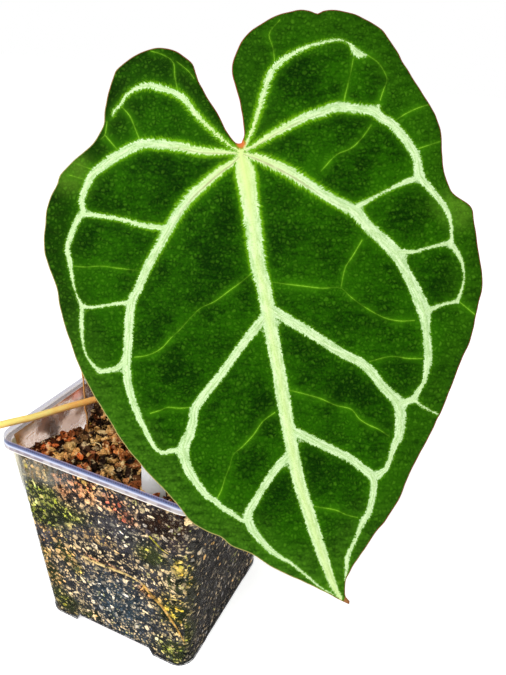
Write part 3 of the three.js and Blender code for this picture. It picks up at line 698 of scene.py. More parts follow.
@dataclass(frozen=True)
class ClearPlasticFinish:
    """Clear moulded plastic: see-through walls and a rim that shows as bands of lavender and blue, painted
    light where light runs through the clear rim, with painted highlights and a painted shadow under the
    ledge.
    """

    wall: Colour = srgb(150, 156, 160)
    lavender: Colour = srgb(212, 200, 250)
    bright_lavender: Colour = srgb(206, 212, 236)
    blue: Colour = srgb(114, 131, 176)
    navy: Colour = srgb(40, 50, 86)
    # painted highlight white, for bright lines on the rim and along the bottom edges
    mauve: Colour = srgb(146, 136, 148)
    white: Colour = srgb(246, 240, 232)
    shadow: Colour = srgb(104, 80, 82)
    # painted highlight under the ledge
    rose_highlight: Colour = srgb(228, 202, 196)
    streak: Colour = srgb(128, 122, 112)
    film: Colour = srgb(164, 148, 112)
    pale_film: Colour = srgb(222, 214, 182)
    # painted shade: the dark line along the bottom edges and round the outline
    edge: Colour = srgb(22, 26, 32)
    wall_slope: float = 0.068
    wall_corner: float = 8.4

    @staticmethod
    def outside(x_pot: Field, y_pot: Field, half: Field | float, corner: float) -> Field:
        """How far a place lies outside a round-cornered square, if near its edge."""
        out_x, out_y = ((abs(part) - half + corner).most(0.0) for part in (x_pot, y_pot))
        return far(out_x, out_y) - corner

    def material(self) -> Material:
        """Makes the material, whose see-through share varies over the pot.

        Returns:
            The material.
        """
        board = Board.for_material("clear_plastic")
        place = board.place()
        x_pot, y_pot, level = board.pot_place()
        wide = board.cloud(place, 0.012, 3.0)
        streaks = board.cloud(board.stretched(place, (1.0, 1.0, 0.1)), 0.0014, 3.0, 0.65)
        scratch = board.cloud(board.stretched(place, (1.0, 0.3, 1.0), (0.6, 0.3, 0.5)), 0.0005, 2.0, 0.7)

        is_rim = level.rise(POT.rim_foot - 0.1, POT.rim_foot)
        inner = (self.outside(x_pot, y_pot, POT.flange_half, POT.flange_corner) * -1.0).rise(0.45, 0.6)
        rim = board.blend(inner, self.outer_bands(board, level, x_pot, y_pot), self.inner_bands(board, level))
        streaked = streaks.rise(0.5, 0.72) * abs(x_pot).rise(38.0, 42.0)
        at_front = y_pot.fall(-38.0, -33.0)
        muddy = (wide + (streaks - 0.5) * 0.6).rise(0.36, 0.6)
        film = muddy * x_pot.fall(-34.0, -4.0) * level.rise(82.0, 90.0) * at_front
        pale = x_pot.fall(-41.0, -34.0) * level.rise(70.0, 84.0) * (0.5 + streaks) * at_front

        leaning = level * self.wall_slope + POT.base_half
        on_wall = self.outside(x_pot, y_pot, leaning, self.wall_corner).rise(-0.9, -0.7) * (1.0 - is_rim)
        passage = (POT.foot_gap_half - POT.foot_draft, POT.foot_gap_half + 0.5 * POT.foot_draft)
        front_gap = abs(x_pot).fall(*passage) * POT.foot_rise
        side_gap = abs(y_pot).fall(*passage) * POT.side_rise
        above_edge = level - front_gap.most(side_gap)
        # Painted shade: a dark line round the outline where the wall is seen edge-on and along the bottom
        # edges, with a painted highlight line just above them.
        grazing = board.out(board.node("ShaderNodeLayerWeight", None, {"Blend": 0.5}), "Facing")
        outline = grazing.rise(0.86, 0.97)
        edge = above_edge.fall(0.9, 1.2) * on_wall
        shine = above_edge.rise(0.5, 0.6) * above_edge.fall(0.8, 0.9) * streaks.rise(0.5, 0.6) * on_wall
        deep_inside = self.outside(x_pot, y_pot, POT.base_half, self.wall_corner).fall(-5.0, -4.0)
        hole = level.fall(5.0, 5.2) * abs(board.upward()).fall(0.3, 0.7) * deep_inside
        behind = board.out(board.node("ShaderNodeNewGeometry"), "Backfacing")
        colour = board.coated(
            self.wall,
            (streaked, self.streak),
            (film, self.film),
            (pale.least(1.0), self.pale_film),
            ((edge + outline * 0.8).least(1.0), self.edge),
            (shine, self.white),
            (is_rim, rim),
        )

        haze = 0.004 + streaks.rise(0.58, 0.76) * 0.02 + scratch.rise(0.64, 0.74) * 0.04
        clear = haze + outline * 0.75 + streaked * 0.04 + film * 0.5 + pale * 0.7 + edge * 0.9 + hole * 0.7
        line = level.rise(98.2, 98.4) * level.fall(99.4, 99.6)
        solid = (0.84 - level.rise(101.5, 101.7) * 0.42) * (1.0 - inner) + (0.32 + line * 0.4) * inner
        solid = solid * (1.0 - behind) + behind * 0.45
        return board.finish(
            Base_Color=colour,
            Roughness=0.08 + wide * 0.12,
            Alpha=(clear * (1.0 - is_rim) + solid * is_rim).least(1.0),
            Normal=board.relief(wide + streaks * 0.2, 0.0003, 0.2),
            Specular_IOR_Level=0.12,
        )

    def outer_bands(self, board: Board, level: Field, x_pot: Field, y_pot: Field) -> Field:
        """The rim seen from outside, as painted light: a painted highlight at the foot, mauve, lavender and a
        ticked blue edge.

        Args:
            board: The material's board.
            level: The height.
            x_pot: The place's x.
            y_pot: Its y.

        Returns:
            Its colour.
        """
        ticks = ((x_pot + y_pot) * 6.0).sine() * 0.5 + 0.5
        mottle = board.cloud(board.place(), 0.004, 3.0, 0.6).rise(0.4, 0.6)
        return board.coated(
            self.white,
            (level.rise(97.8, 98.0), board.blend(mottle, self.mauve, mixed(self.mauve, self.white, 0.4))),
            (level.rise(99.0, 99.3), self.bright_lavender),
            (level.rise(99.8, 100.2), self.blue),
            (level.rise(100.4, 100.8), board.blend(ticks * 0.4 + 0.6, self.blue, self.navy)),
            (level.rise(101.66, 101.74), self.mauve),
        )

    def inner_bands(self, board: Board, level: Field) -> Field:
        """The rim seen from inside, as painted light: lavender above a painted shadow under the ledge, with a
        rosy painted highlight below it.

        Args:
            board: The material's board.
            level: The height.

        Returns:
            Its colour.
        """
        return board.coated(
            self.rose_highlight,
            (level.rise(98.55, 98.75), self.shadow),
            (level.rise(99.25, 99.5), self.rose_highlight),
            (level.rise(99.6, 100.6), self.lavender),
        )


@dataclass(frozen=True)
class Spot:
    """A soft spot of colour on a wall: its centre and half widths, along the wall and upwards."""

    centre: tuple[float, float]
    reach: tuple[float, float]
    colour: Colour


# Spots of dried mud, with dark spots of painted shadow under the old stalk and painted shade beside the dry
# bract.
MUD_AND_SHADE_SPOTS = [
    Spot((-36, 97), (6, 5), srgb(146, 98, 44)),
    Spot((-28, 98), (5, 4), srgb(138, 98, 46)),
    Spot((-31, 90), (6, 5), srgb(208, 152, 94)),
    # Painted shadow of the old stalk: this spot and the next two.
    Spot((-20.5, 95), (6, 5), srgb(110, 58, 12)),
    Spot((-17, 88), (4, 6), srgb(66, 32, 4)),
    Spot((-10, 92), (5, 4), srgb(114, 60, 12)),
    Spot((-6, 84), (5, 5), srgb(192, 134, 80)),
    Spot((-2, 85), (4, 4), srgb(188, 130, 78)),
    Spot((2.5, 89), (3, 4), srgb(134, 84, 24)),
    Spot((2.5, 97), (5, 3), srgb(208, 101, 42)),
    Spot((-4, 98.5), (5, 2), srgb(160, 88, 50)),
    # Painted shade beside the dry bract, over the dark mix.
    Spot((12, 90), (7, 16), srgb(70, 30, 14)),
]


@dataclass(frozen=True)
class WallResidueFinish:
    """Dried mud and condensation on the inside of the left wall, above the mix, with painted shadow in some
    dark spots and a painted glow.
    """

    beige: Colour = srgb(196, 144, 94)
    umber: Colour = srgb(70, 42, 24)

    def material(self) -> Material:
        """Makes the material, whose tint changes along the wall.

        Returns:
            The material.
        """
        board = Board.for_material("wall_residue")
        place = board.place()
        wide = board.cloud(place, 0.005, 3.0, 0.6)
        fine = board.cloud(place, 0.0012, 3.0, 0.65)
        hair = board.cloud(board.stretched(place, (1.0, 0.2, 1.2), (0.7, 0.0, 0.0)), 0.0006, 1.0)
        _, y_pot, level = board.pot_place()
        y_pot = y_pot + (wide - 0.5) * 9.0
        level = level + (fine - 0.5) * 3.0
        tint = self.beige
        for spot in MUD_AND_SHADE_SPOTS:
            off_y = (y_pot - spot.centre[0]) * (1.0 / spot.reach[0])
            off_z = (level - spot.centre[1]) * (1.0 / spot.reach[1])
            tint = board.blend((off_y * off_y + off_z * off_z).fall(0.1, 1.9) * 0.92, tint, spot.colour)
        specks = [(share * 0.35, self.umber) for share in (fine.rise(0.55, 0.72), hair.rise(0.62, 0.66))]
        tint = board.coated(tint, *specks)
        light = board.out(board.node("ShaderNodeRGBToBW", None, {0: tint}))
        density = (0.92 - light * 1.25).most(0.44) - fine.rise(0.55, 0.8) * 0.04
        inland = level.rise(74.0, 81.0) * y_pot.fall(14.0, 34.0) * (0.72 + wide * 0.5)
        return board.finish(
            Base_Color=tint,
            Roughness=0.55,
            Alpha=density * inland.least(1.0),
            # Painted light: the film glows in its own tint, brighter than its lighting makes it.
            Emission_Color=tint,
            Emission_Strength=0.33,
            Specular_IOR_Level=0.1,
        )


@dataclass(frozen=True)
class MixFinish:
    """The mix: a dark ground with bits, both tinted by the colours that the mesh holds, with painted
    highlights and painted shade on the large chunks and painted shade in the pits.

    Gain is how much lighter the bits are made, and shine how strongly it all reflects.
    """

    name: str
    gain: float = 1.0
    shine: float = 0.03
    # cream colour of crumbs, also a painted highlight on the large chunks
    crumb_and_highlight: Colour = srgb(244, 212, 158)
    moss: Colour = srgb(146, 150, 56)
    # painted shade, near black
    painted_shade: Colour = srgb(10, 9, 9)

    def material(self) -> Material:
        """Makes the material, which reads the tints and the share of bits.

        Returns:
            The material.
        """
        board = Board.for_material(self.name)
        place = board.place()
        fine = board.cloud(place, 0.0007, 3.0, 0.7)
        wide = board.cloud(place, 0.0045, 3.0, 0.6)
        rough = board.cloud(place, 0.0028, 3.0, 0.6)
        bent = board.warped(place, 900.0, 2.0, (0.0013, 0.0013, 0.0013))
        fill, coarse = board.measures("fill", "coarse")
        ground, own_bit = board.measure("ground", "Color"), board.measure("bit", "Color")
        fill = fill * (wide.rise(0.3, 0.65) * 1.3 + 0.35)
        grain = fine.rise(0.3, 0.7)
        colour = board.shade(ground, wide.rise(0.3, 0.7) * 0.9 + grain * 0.9)
        raised = fine * 0.3
        some = coarse.least(1.0)
        for size, share in ((0.0013, 1.0 - some * 0.35), (0.003, some * 0.8 + 0.12)):
            cells = board.cells(bent, size)
            chance, light, hue = board.parts(board.out(cells, "Color"))
            lump = board.out(cells, "Distance").fall(0.25, 0.6) * (fill * share - chance).rise(0.0, 0.04)
            mossy = (light - hue).rise(0.45, 0.7) * 0.6
            bit = board.coated(own_bit, (hue * 0.4, self.crumb_and_highlight), (mossy, self.moss))
            bit = board.shade(bit, (light * light * 0.95 + 0.2 + grain * 0.35) * self.gain)
            colour = board.blend(lump, colour, bit)
            raised = raised + lump * 0.5
        # Painted light on the large chunks: painted highlights in the crumb colour and painted shade in
        # black.
        whole = board.coated(
            board.shade(own_bit, (grain * 0.5 + rough.rise(0.38, 0.62) * 0.8 + 0.35) * self.gain),
            (rough.rise(0.56, 0.64) * 0.7, self.crumb_and_highlight),
            (rough.fall(0.36, 0.44) * 0.85, self.painted_shade),
        )
        # Painted shade in the pits between the grains.
        pit_shade = fine.fall(0.3, 0.42) * 0.7
        return board.finish(
            Base_Color=board.coated(colour, (coarse.rise(1.2, 1.8), whole), (pit_shade, self.painted_shade)),
            Roughness=0.6 + fine * 0.4,
            Normal=board.relief(raised, 0.0005, 0.9),
            Specular_IOR_Level=self.shine,
        )


@dataclass(frozen=True)
class DrySheathFinish:
    """Dry papery brown tissue with fine lengthwise fibres, and a paler rim where the mesh marks one: a
    painted highlight along the edge that catches the light.
    """

    name: str = "dry_sheath"
    husk: Colour = srgb(122, 76, 44)
    pale: Colour = srgb(186, 140, 84)
    dark: Colour = srgb(62, 34, 20)
    # painted highlight along the marked edge
    rim: Colour = srgb(226, 160, 92)

    def material(self) -> Material:
        """Makes the material.

        Returns:
            The material.
        """
        board = Board.for_material(self.name)
        place = board.place()
        fibre = board.cloud(board.stretched(place, (1.0, 1.0, 0.1)), 0.0005, 3.0, 0.6)
        tint = board.coated(
            self.husk,
            (fibre.rise(0.4, 0.65), self.pale),
            (board.cloud(place, 0.004, 2.0).rise(0.45, 0.7) * 0.8, self.dark),
            # Painted highlight along the marked edge.
            (board.measure("rim"), self.rim),
        )
        return board.finish(
            Base_Color=tint, Roughness=0.75 + fibre * 0.2, Normal=board.relief(fibre, 0.0003, 0.8),
        )


@dataclass(frozen=True)
class LabelFinish:
    """Smooth white plastic, greyer towards the bottom near the mix and in faint blotches."""

    white: Colour = srgb(246, 246, 248)
    grey_tint: Colour = srgb(168, 150, 132)

    def material(self) -> Material:
        """Makes the material.

        Returns:
            The material.
        """
        board = Board.for_material("white_label")
        wide = board.cloud(board.place(), 0.004, 3.0, 0.6)
        level = board.pot_place()[2]
        # Greyer towards the bottom, near the mix, and in faint blotches.
        grey_share = (level + (wide - 0.5) * 12.0).fall(84.0, 92.0) * 0.5 + wide.rise(0.62, 0.8) * 0.1
        tint = board.blend(grey_share, self.white, self.grey_tint)
        return board.finish(Base_Color=tint, Roughness=0.32 + wide * 0.15, Specular_IOR_Level=0.5)


@dataclass(frozen=True)
class FloorFinish:
    """The plain pale floor."""

    pale: Colour = srgb(244, 244, 244)

    def material(self) -> Material:
        """Makes the material.

        Returns:
            The material.
        """
        board = Board.for_material("pale_floor")
        tint = board.blend(board.cloud(board.place(), 0.3, 2.0), self.pale, mixed(self.pale, WHITE, 0.3))
        return board.finish(
            Base_Color=tint, Roughness=0.6, Specular_IOR_Level=0.2,
            Emission_Color=self.pale, Emission_Strength=0.75,
        )


# Mesh helpers


def mesh_from(name: str, work: Work) -> bpy.types.Mesh:
    """Turns mesh work, which is used up, into a mesh.

    Args:
        name: The mesh's name.
        work: The mesh work.

    Returns:
        The mesh.
    """
    mesh = bpy.data.meshes.new(name)
    work.to_mesh(mesh)
    work.free()
    return mesh


def finished(name: str, work: Work, materials: Sequence[Material], slot: str, *nodes: str) -> Piece:
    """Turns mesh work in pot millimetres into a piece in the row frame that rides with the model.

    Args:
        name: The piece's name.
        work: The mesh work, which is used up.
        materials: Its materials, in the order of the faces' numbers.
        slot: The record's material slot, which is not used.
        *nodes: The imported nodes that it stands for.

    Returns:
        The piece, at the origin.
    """
    work.transform(TO_ROW)
    mesh = mesh_from(name, work)
    for material in materials:
        mesh.materials.append(material)
    piece = shown(name, mesh)
    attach(piece, "root")
    if nodes:
        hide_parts(*nodes)
    return piece


def join(work: Work, part: Work) -> None:
    """Adds mesh work, which is used up, to other mesh work.

    Args:
        work: The mesh work that it is added to.
        part: The mesh work that is added.
    """
    scratch = mesh_from("scratch", part)
    work.from_mesh(scratch)
    bpy.data.meshes.remove(scratch)


def face_out(work: Work, smooth: bool = False) -> None:
    """Turns all faces outwards, and shades them smooth if wanted.

    Args:
        work: The mesh work.
        smooth: Whether they are shaded smooth.
    """
    bmesh.ops.recalc_face_normals(work, faces=work.faces[:])
    for face in work.faces:
        face.smooth = smooth


def thicken(work: Work, thickness: float, smooth: bool = False) -> None:
    """Gives a sheet its thickness.

    Args:
        work: The sheet.
        thickness: Its thickness.
        smooth: Whether it is shaded smooth.
    """
    face_out(work)
    bmesh.ops.solidify(work, geom=work.faces[:], thickness=thickness)
    face_out(work, smooth)


def keep_sharp(work: Work, degrees: float) -> None:
    """Keeps the edges sharp that turn by more than an angle."""
    for edge in work.edges:
        edge.smooth = edge.is_manifold and edge.calc_face_angle(0.0) < math.radians(degrees)


def stitch(work: Work, rings: Sequence[Sequence[bmesh.types.BMVert]]) -> None:
    """Makes a closed skin through rings of points, with its faces outwards.

    Args:
        work: The mesh work that holds the points.
        rings: The rings, with equal numbers of points.
    """
    for ring, following in zip(rings, rings[1:]):
        for i in range(len(ring)):
            j = (i + 1) % len(ring)
            work.faces.new((ring[i], ring[j], following[j], following[i]))
    work.faces.new(list(reversed(rings[0])))
    work.faces.new(rings[-1])
    face_out(work)


def smooth_line(knots: Sequence[Knot], step: float) -> np.ndarray:
    """Even points along a smooth curve through the knots.

    Args:
        knots: Points of any equal number of dimensions.
        step: The distance between points, about.

    Returns:
        An array with a row for each point.
    """
    points = np.array(knots, float)
    points = np.vstack([2 * points[0] - points[1], points, 2 * points[-1] - points[-2]])
    dense = []
    for p0, p1, p2, p3 in zip(points, points[1:], points[2:], points[3:]):
        t1 = max(1e-6, math.sqrt(np.linalg.norm(p1 - p0)))
        t2 = t1 + max(1e-6, math.sqrt(np.linalg.norm(p2 - p1)))
        t3 = t2 + max(1e-6, math.sqrt(np.linalg.norm(p3 - p2)))
        t = np.linspace(t1, t2, 24, endpoint=False)[:, None]
        a1 = p0 * (t1 - t) / t1 + p1 * t / t1
        a2 = p1 * (t2 - t) / (t2 - t1) + p2 * (t - t1) / (t2 - t1)
        a3 = p2 * (t3 - t) / (t3 - t2) + p3 * (t - t2) / (t3 - t2)
        b1 = a1 * (t2 - t) / t2 + a2 * t / t2
        b2 = a2 * (t3 - t) / (t3 - t1) + a3 * (t - t1) / (t3 - t1)
        dense.append(b1 * (t2 - t) / (t2 - t1) + b2 * (t - t1) / (t2 - t1))
    dense.append(points[-2][None])
    line = np.vstack(dense)
    lengths = np.concatenate([[0.0], np.cumsum(np.linalg.norm(np.diff(line, axis=0), axis=1))])
    count = max(2, round(lengths[-1] / step)) + 1
    wanted = np.linspace(0.0, lengths[-1], count)
    return np.stack([np.interp(wanted, lengths, column) for column in line.T], axis=1)


@dataclass
class Rod:
    """A round stalk along a smooth route, with its radius at even shares of its length."""

    route: Sequence[Knot]
    radii: Sequence[float]
    sides: int = 12
    step: float = 1.2
    lump: float = 0.0

    def add_to(self, work: Work, seed: float = 0.0) -> None:
        """Adds the stalk to mesh work.

        Args:
            work: The mesh work that it is added to.
            seed: Moves its uneven pattern.
        """
        part = bmesh.new()
        along = part.verts.layers.float.new("along")
        points = [Vector(row) for row in smooth_line(self.route, self.step)]
        shares = np.linspace(0.0, 1.0, len(points))
        radii = np.interp(shares, np.linspace(0.0, 1.0, len(self.radii)), self.radii)
        turn, last = Quaternion(), Vector((0.0, 0.0, 1.0))
        rings, rims = [], []
        for i, (point, share, radius) in enumerate(zip(points, shares, radii)):
            ahead = points[min(i + 1, len(points) - 1)] - points[max(i - 1, 0)]
            turn = last.rotation_difference(ahead) @ turn
            last = ahead
            place = Matrix.Translation(point) @ turn.to_matrix().to_4x4()
            ring = bmesh.ops.create_circle(part, segments=self.sides, radius=radius, matrix=place)["verts"]
            for vert in ring:
                uneven = self.lump * noise.noise(vert.co * 0.35 + Vector((seed, 0.0, seed)))
                vert.co = point + (vert.co - point) * (1.0 + uneven)
                vert[along] = share
            rings.append(ring)
            rims.append({edge for vert in ring for edge in vert.link_edges})
        for rim, following in zip(rims, rims[1:]):
            bmesh.ops.bridge_loops(part, edges=list(rim | following))
        for ring in (rings[0], rings[-1]):
            bmesh.ops.contextual_create(part, geom=ring)
        face_out(part)
        for face in part.faces:
            face.smooth = len(face.verts) == 4
        join(work, part)


# Leaf


LEFT_MARGIN: list[Knot] = [
    (0.5, 3), (-1, 3), (-4.5, 7.2), (-6.8, 11.8), (-12, 20.3), (-14.8, 26.3), (-16.2, 29.7),
    (-21.8, 33.8), (-29.3, 34.5), (-41, 27.7), (-42.3, 25), (-45, 14.3), (-45.3, 9.5), (-46.7, 6.3),
    (-49, 3), (-59.7, -7.3), (-61, -10.7), (-63.9, -17.2), (-65.2, -27.9), (-65, -33.9), (-61, -45.7),
    (-59.7, -53), (-57.7, -60), (-52.3, -74.3), (-48.8, -80.9), (-44.7, -87.3), (-40, -95.2),
    (-32, -105.3), (-21.1, -117), (-16.4, -122.9), (-11, -126.3), (-6.3, -128.3), (-3.3, -130.7),
    (4, -133.9), (10.3, -138), (14.3, -140), (26.7, -145.7), (36.5, -150.7),
]
RIGHT_MARGIN: list[Knot] = [
    (36.5, -150.7), (36.7, -149.8), (35.3, -148), (35.3, -143.2), (36.7, -140.3), (37.9, -137.5),
    (40.3, -134.3), (46, -125.7), (48.7, -122.7), (53.2, -115.3), (56.8, -106.7), (65.3, -90.3),
    (67.7, -85), (74.3, -68.3), (76.7, -63), (79, -53), (81, -42.7), (79.7, -34), (77.9, -22),
    (77, -18.3), (70.5, -13), (67.8, -4.7), (67.2, 5.3), (65.7, 11.3), (63.3, 15.7), (56.2, 27),
    (50.2, 37), (47.3, 40.7), (39, 45.7), (31.2, 47.4), (27.7, 47.1), (25.8, 46.2), (23.3, 47.1),
    (20.3, 47.4), (12.7, 45.7), (8.6, 43.7), (2, 38.8), (-1.7, 32.3), (-2.7, 27), (-0.3, 18),
    (1.3, 6), (0.5, 3),
]
MAIN_VEINS: dict[str, list[Knot]] = {
    "midrib": [
        (0.2, 0.2, 2), (0.7, -2, 4.0), (1.7, -6.3, 6.5), (3.2, -16, 5.8), (4.3, -23.7, 5.6),
        (6.3, -38.7, 5.2), (8, -44.7, 5),
        (10.9, -62.3, 4.7), (13.3, -74.3, 4.5), (14.2, -80.3, 4.7), (17.3, -98, 4.2), (19.8, -110, 4.2),
        (21.7, -116, 4.2), (27.2, -133, 3.7), (31.7, -145.2, 2), (33.8, -148.7, 1.3),
    ],
    "left_1": [
        (0, 0, 0.8), (-6, 4.3, 1.1), (-14.3, 12.3, 1.7), (-19, 18, 2.2), (-23.2, 20.3, 2.2),
        (-31.7, 22, 2.0), (-37.7, 19, 1.1), (-39.7, 16, 1.0), (-42, 13.3, 0.8), (-42.3, 12, 0.6),
    ],
    "left_2": [
        (-1.3, -0.3, 1.0), (-6, 0, 1.9), (-13, 0.3, 2.7), (-20, 1.8, 3), (-31.7, 2.7, 3.3), (-35, 1.8, 3.3),
        (-42.3, -2.2, 3.3), (-46, -5, 3), (-49, -7.3, 2.7), (-52.7, -16.3, 1.9), (-52.2, -19, 1.9),
        (-52.3, -20.5, 2),
    ],
    "left_margin": [
        (-52.3, -20.5, 2), (-53.3, -21.3, 2), (-57.4, -32, 1.7), (-56.8, -35.7, 1.7), (-55.3, -44, 0.7),
        (-53.9, -48.7, 0.5), (-52.7, -51, 1.3), (-52.7, -57.7, 1.3), (-51.3, -67.2, 0.5), (-47, -73, 1.3),
    ],
    "left_3": [
        (-0.8, -1.8, 1.4), (-3.5, -4.2, 2.2), (-6, -5.8, 2.7), (-10.7, -9.7, 3), (-19, -18, 3.3),
        (-28, -33.3, 3),
        (-30.3, -37.3, 3), (-34, -45.7, 2.8), (-36, -50, 3), (-37.2, -63.7, 3), (-37.5, -75, 2.7),
        (-33.3, -88.7, 2), (-26.3, -100, 1.3), (-21.3, -99.3, 2), (-19, -100.7, 3),
    ],
    "left_4": [
        (8, -55.3, 3.3), (0.7, -64.3, 2.7), (-6, -73.7, 2.7), (-15, -85.7, 3), (-15.5, -89.7, 3),
        (-16.7, -94, 3.3), (-18.5, -97.7, 3.7), (-17.8, -104, 3.3), (-11, -114.3, 2), (-8.3, -116, 2),
        (-6, -118.3, 1.7), (-3, -120, 1.7), (0, -122.2, 1.2), (2.3, -123, 1.7),
    ],
    "left_5": [
        (16.7, -100.7, 3), (12.3, -105.2, 2.7), (5.7, -115.3, 2.3), (2.7, -121.7, 3), (8.3, -130.7, 2),
        (13.7, -135, 1.3), (16.9, -136.7, 1), (27.3, -145.2, 0.5), (31, -147.2, 0.3),
    ],
    "left_cross_1": [(-25.3, -25.3, 2), (-31, -24.7, 1.7), (-40.3, -22.3, 1.3), (-52.3, -20.5, 1.7)],
    "left_cross_2": [(-36.3, -50, 1.7), (-41, -50.5, 1), (-50, -51.7, 1), (-52.3, -51.3, 1.7)],
    "left_cross_3": [(-37.7, -68.3, 2), (-41, -72, 1.7), (-47, -73.2, 1.3)],
    "right_1": [
        (1.3, 1, 0.9), (4.3, 7.8, 1.3), (10.3, 26.3, 2.2), (12.7, 29.3, 2.1), (19.9, 34, 1.3),
        (32.3, 37.3, 0.7), (36, 36.3, 0.5), (39.3, 32.7, 2.7), (42, 32.2, 0.7),
    ],
    "right_2": [
        (1.3, 0.5, 0.9), (4.3, 1.8, 1.5), (13.3, 7.3, 2.6), (22.9, 12, 3), (27.7, 13.5, 3.3),
        (32.3, 15, 3.3), (40.7, 14.3, 3), (44.3, 13.8, 3.3), (47.3, 11.3, 3), (50.2, 9.7, 3),
        (58, 0, 3), (59.2, -3.5, 2.8), (59.7, -7.7, 3.3), (61.5, -10, 2.7), (69.3, -20.2, 1.5),
        (70.5, -28, 1), (70.2, -30.3, 2), (72.3, -33.3, 1.7), (74, -36.8, 1), (74.6, -42.7, 0.5),
        (72.5, -49.7, 1.3),
    ],
    "right_3": [
        (1, -0.4, 1.2), (3.4, -1.1, 2.0), (6.2, -2.0, 2.8), (15.7, -6.3, 3.7), (30, -15.3, 3.3),
        (39, -20.3, 4),
        (41.3, -23.3, 3.7), (52, -33.7, 4.3), (54.7, -38.7, 3.3), (61.2, -52.7, 4.3), (62, -59.3, 2.7),
        (62.7, -68.3, 2.7), (61.2, -76.7, 1.3), (59.3, -79.7, 1.7), (57.9, -82, 2), (53, -84, 3),
    ],
    "right_4": [
        (9.3, -51.7, 3.3), (24.3, -60.7, 3.2), (33.7, -66.7, 3), (42, -71.3, 3), (48, -78.5, 3),
        (52.9, -83.9, 3.7), (52.9, -94.7, 3), (51.7, -97, 2.3), (48.7, -105.3, 1.7), (45.7, -107.7, 2.7),
    ],
    "right_5": [
        (16.3, -92, 3), (32.7, -100, 2.7), (37.3, -102.3, 2.7), (41, -105.3, 2.7), (44, -107.7, 3),
        (44.7, -110.8, 2.3), (42.7, -120.5, 2), (41, -123, 2), (38.7, -128.7, 1), (35.8, -135, 1.7),
        (35.7, -138, 1.3), (35, -142.7, 0.3),
    ],
    "right_cross_1": [(58, -9, 2), (55, -10, 1.7), (47.3, -13.7, 0.8), (38.7, -18.3, 2)],
    "right_cross_2": [(52.3, -33.3, 2.3), (59.2, -33, 1), (62, -32, 0.7), (69.3, -30.3, 1.7)],
    "right_cross_3": [(61.7, -53.3, 2.3), (66.7, -51, 1), (72.5, -49.5, 1)],
    "right_tail": [(53.5, -83.5, 1.6), (57.3, -82.3, 1.3), (61.5, -85, 0.6), (66, -87.3, 0.3)],
    "spur_right_2": [(34.7, 14.7, 1.6), (34.7, 16.7, 0.7)],
    "spur_right_2_b": [(45.6, 13, 1.8), (46.2, 15.8, 0.7)],
}
RIBS: dict[str, tuple[float, float]] = {
    "left_1": (0.6, 30.0), "left_2": (1.0, 42.0), "left_3": (1.2, 75.0), "left_4": (0.6, 45.0),
    "right_1": (0.6, 30.0), "right_2": (1.0, 45.0), "right_3": (1.3, 80.0), "right_4": (0.8, 60.0),
}
THIN_VEINS: list[list[Knot]] = [
    [(-44.3, 10), (-45, 5.7), (-46.3, 4.3)],
    [(-45, 5.7), (-41, 1)],
    [(-40, 15.7), (-36.7, 12), (-34.3, 6.3), (-33.3, 4)],
    [(-20.8, 20.7), (-21.7, 25.3), (-22.3, 30), (-25.5, 32.3), (-29.7, 33.7)],
    [(-21, 30.1), (-17, 26.8), (-15.3, 24.5)],
    [(-48, -6.3), (-56, -3.3)],
    [(-51, -9.3), (-56.7, -7.7)],
    [(-33.3, -39.5), (-40.5, -38.7), (-46.3, -38), (-51.7, -38.3), (-55.3, -38)],
    [(42.5, 32.3), (46, 29.8), (48.3, 26.3), (49, 24), (47.9, 21), (46.7, 17.3)],
    [(37.7, 31), (37, 27), (36, 22.7), (35, 18.7), (34.7, 16.7)],
    [(11.5, 30.4), (11, 34.7), (9.7, 39.3), (13.3, 44.1)],
    [(51.3, 10.3), (55, 12.7), (59.2, 14.7), (62.7, 15.8)],
    [(59.7, 1.3), (67, 3.7)],
    [(43.7, 9), (40.7, 4.8), (37, 1.3), (32.3, -0.8), (27, -6.3)],
    [(72.5, -49.3), (78.3, -54)],
    [
        (3.9, -40.3), (1.2, -42.7), (-3.7, -46.3), (-8.3, -49.7), (-13.1, -52), (-16, -54.7),
        (-19.7, -58.9), (-23.3, -62.3), (-25.7, -65), (-28.7, -66.9), (-32.1, -68), (-35.1, -68.3),
    ],
    [
        (11.7, -86.7), (7.7, -89.7), (4.7, -94), (1, -98), (-2.3, -101), (-3.1, -104), (-5, -108.9),
        (-6, -112.3), (-7.8, -116),
    ],
    [(-16.3, -85), (-20.3, -85.3), (-24, -85), (-26.5, -86), (-29.7, -87)],
    [
        (10.7, -43.3), (16, -44), (22, -44.7), (27.3, -45.3), (33.7, -45.3), (36.7, -48), (40.3, -50.7),
        (44.5, -53.3), (48.7, -55.3), (53.3, -56.2), (58.2, -56),
    ],
    [(33.7, -45.3), (34.3, -41.7), (35.3, -38), (37.3, -35), (40.7, -29.3)],
    [
        (16.5, -79.3), (20.7, -80.3), (26.7, -82), (32, -84.3), (37.3, -85.7), (39.7, -88.7),
        (42.7, -90.7), (46.3, -92.3), (49.9, -94.7),
    ],
    [(43.3, -69.7), (50.3, -68), (56.3, -68.7), (61.2, -68.7)],
    [(25, -118), (32.3, -119.3), (35.3, -120.7), (39.3, -121.7)],
]


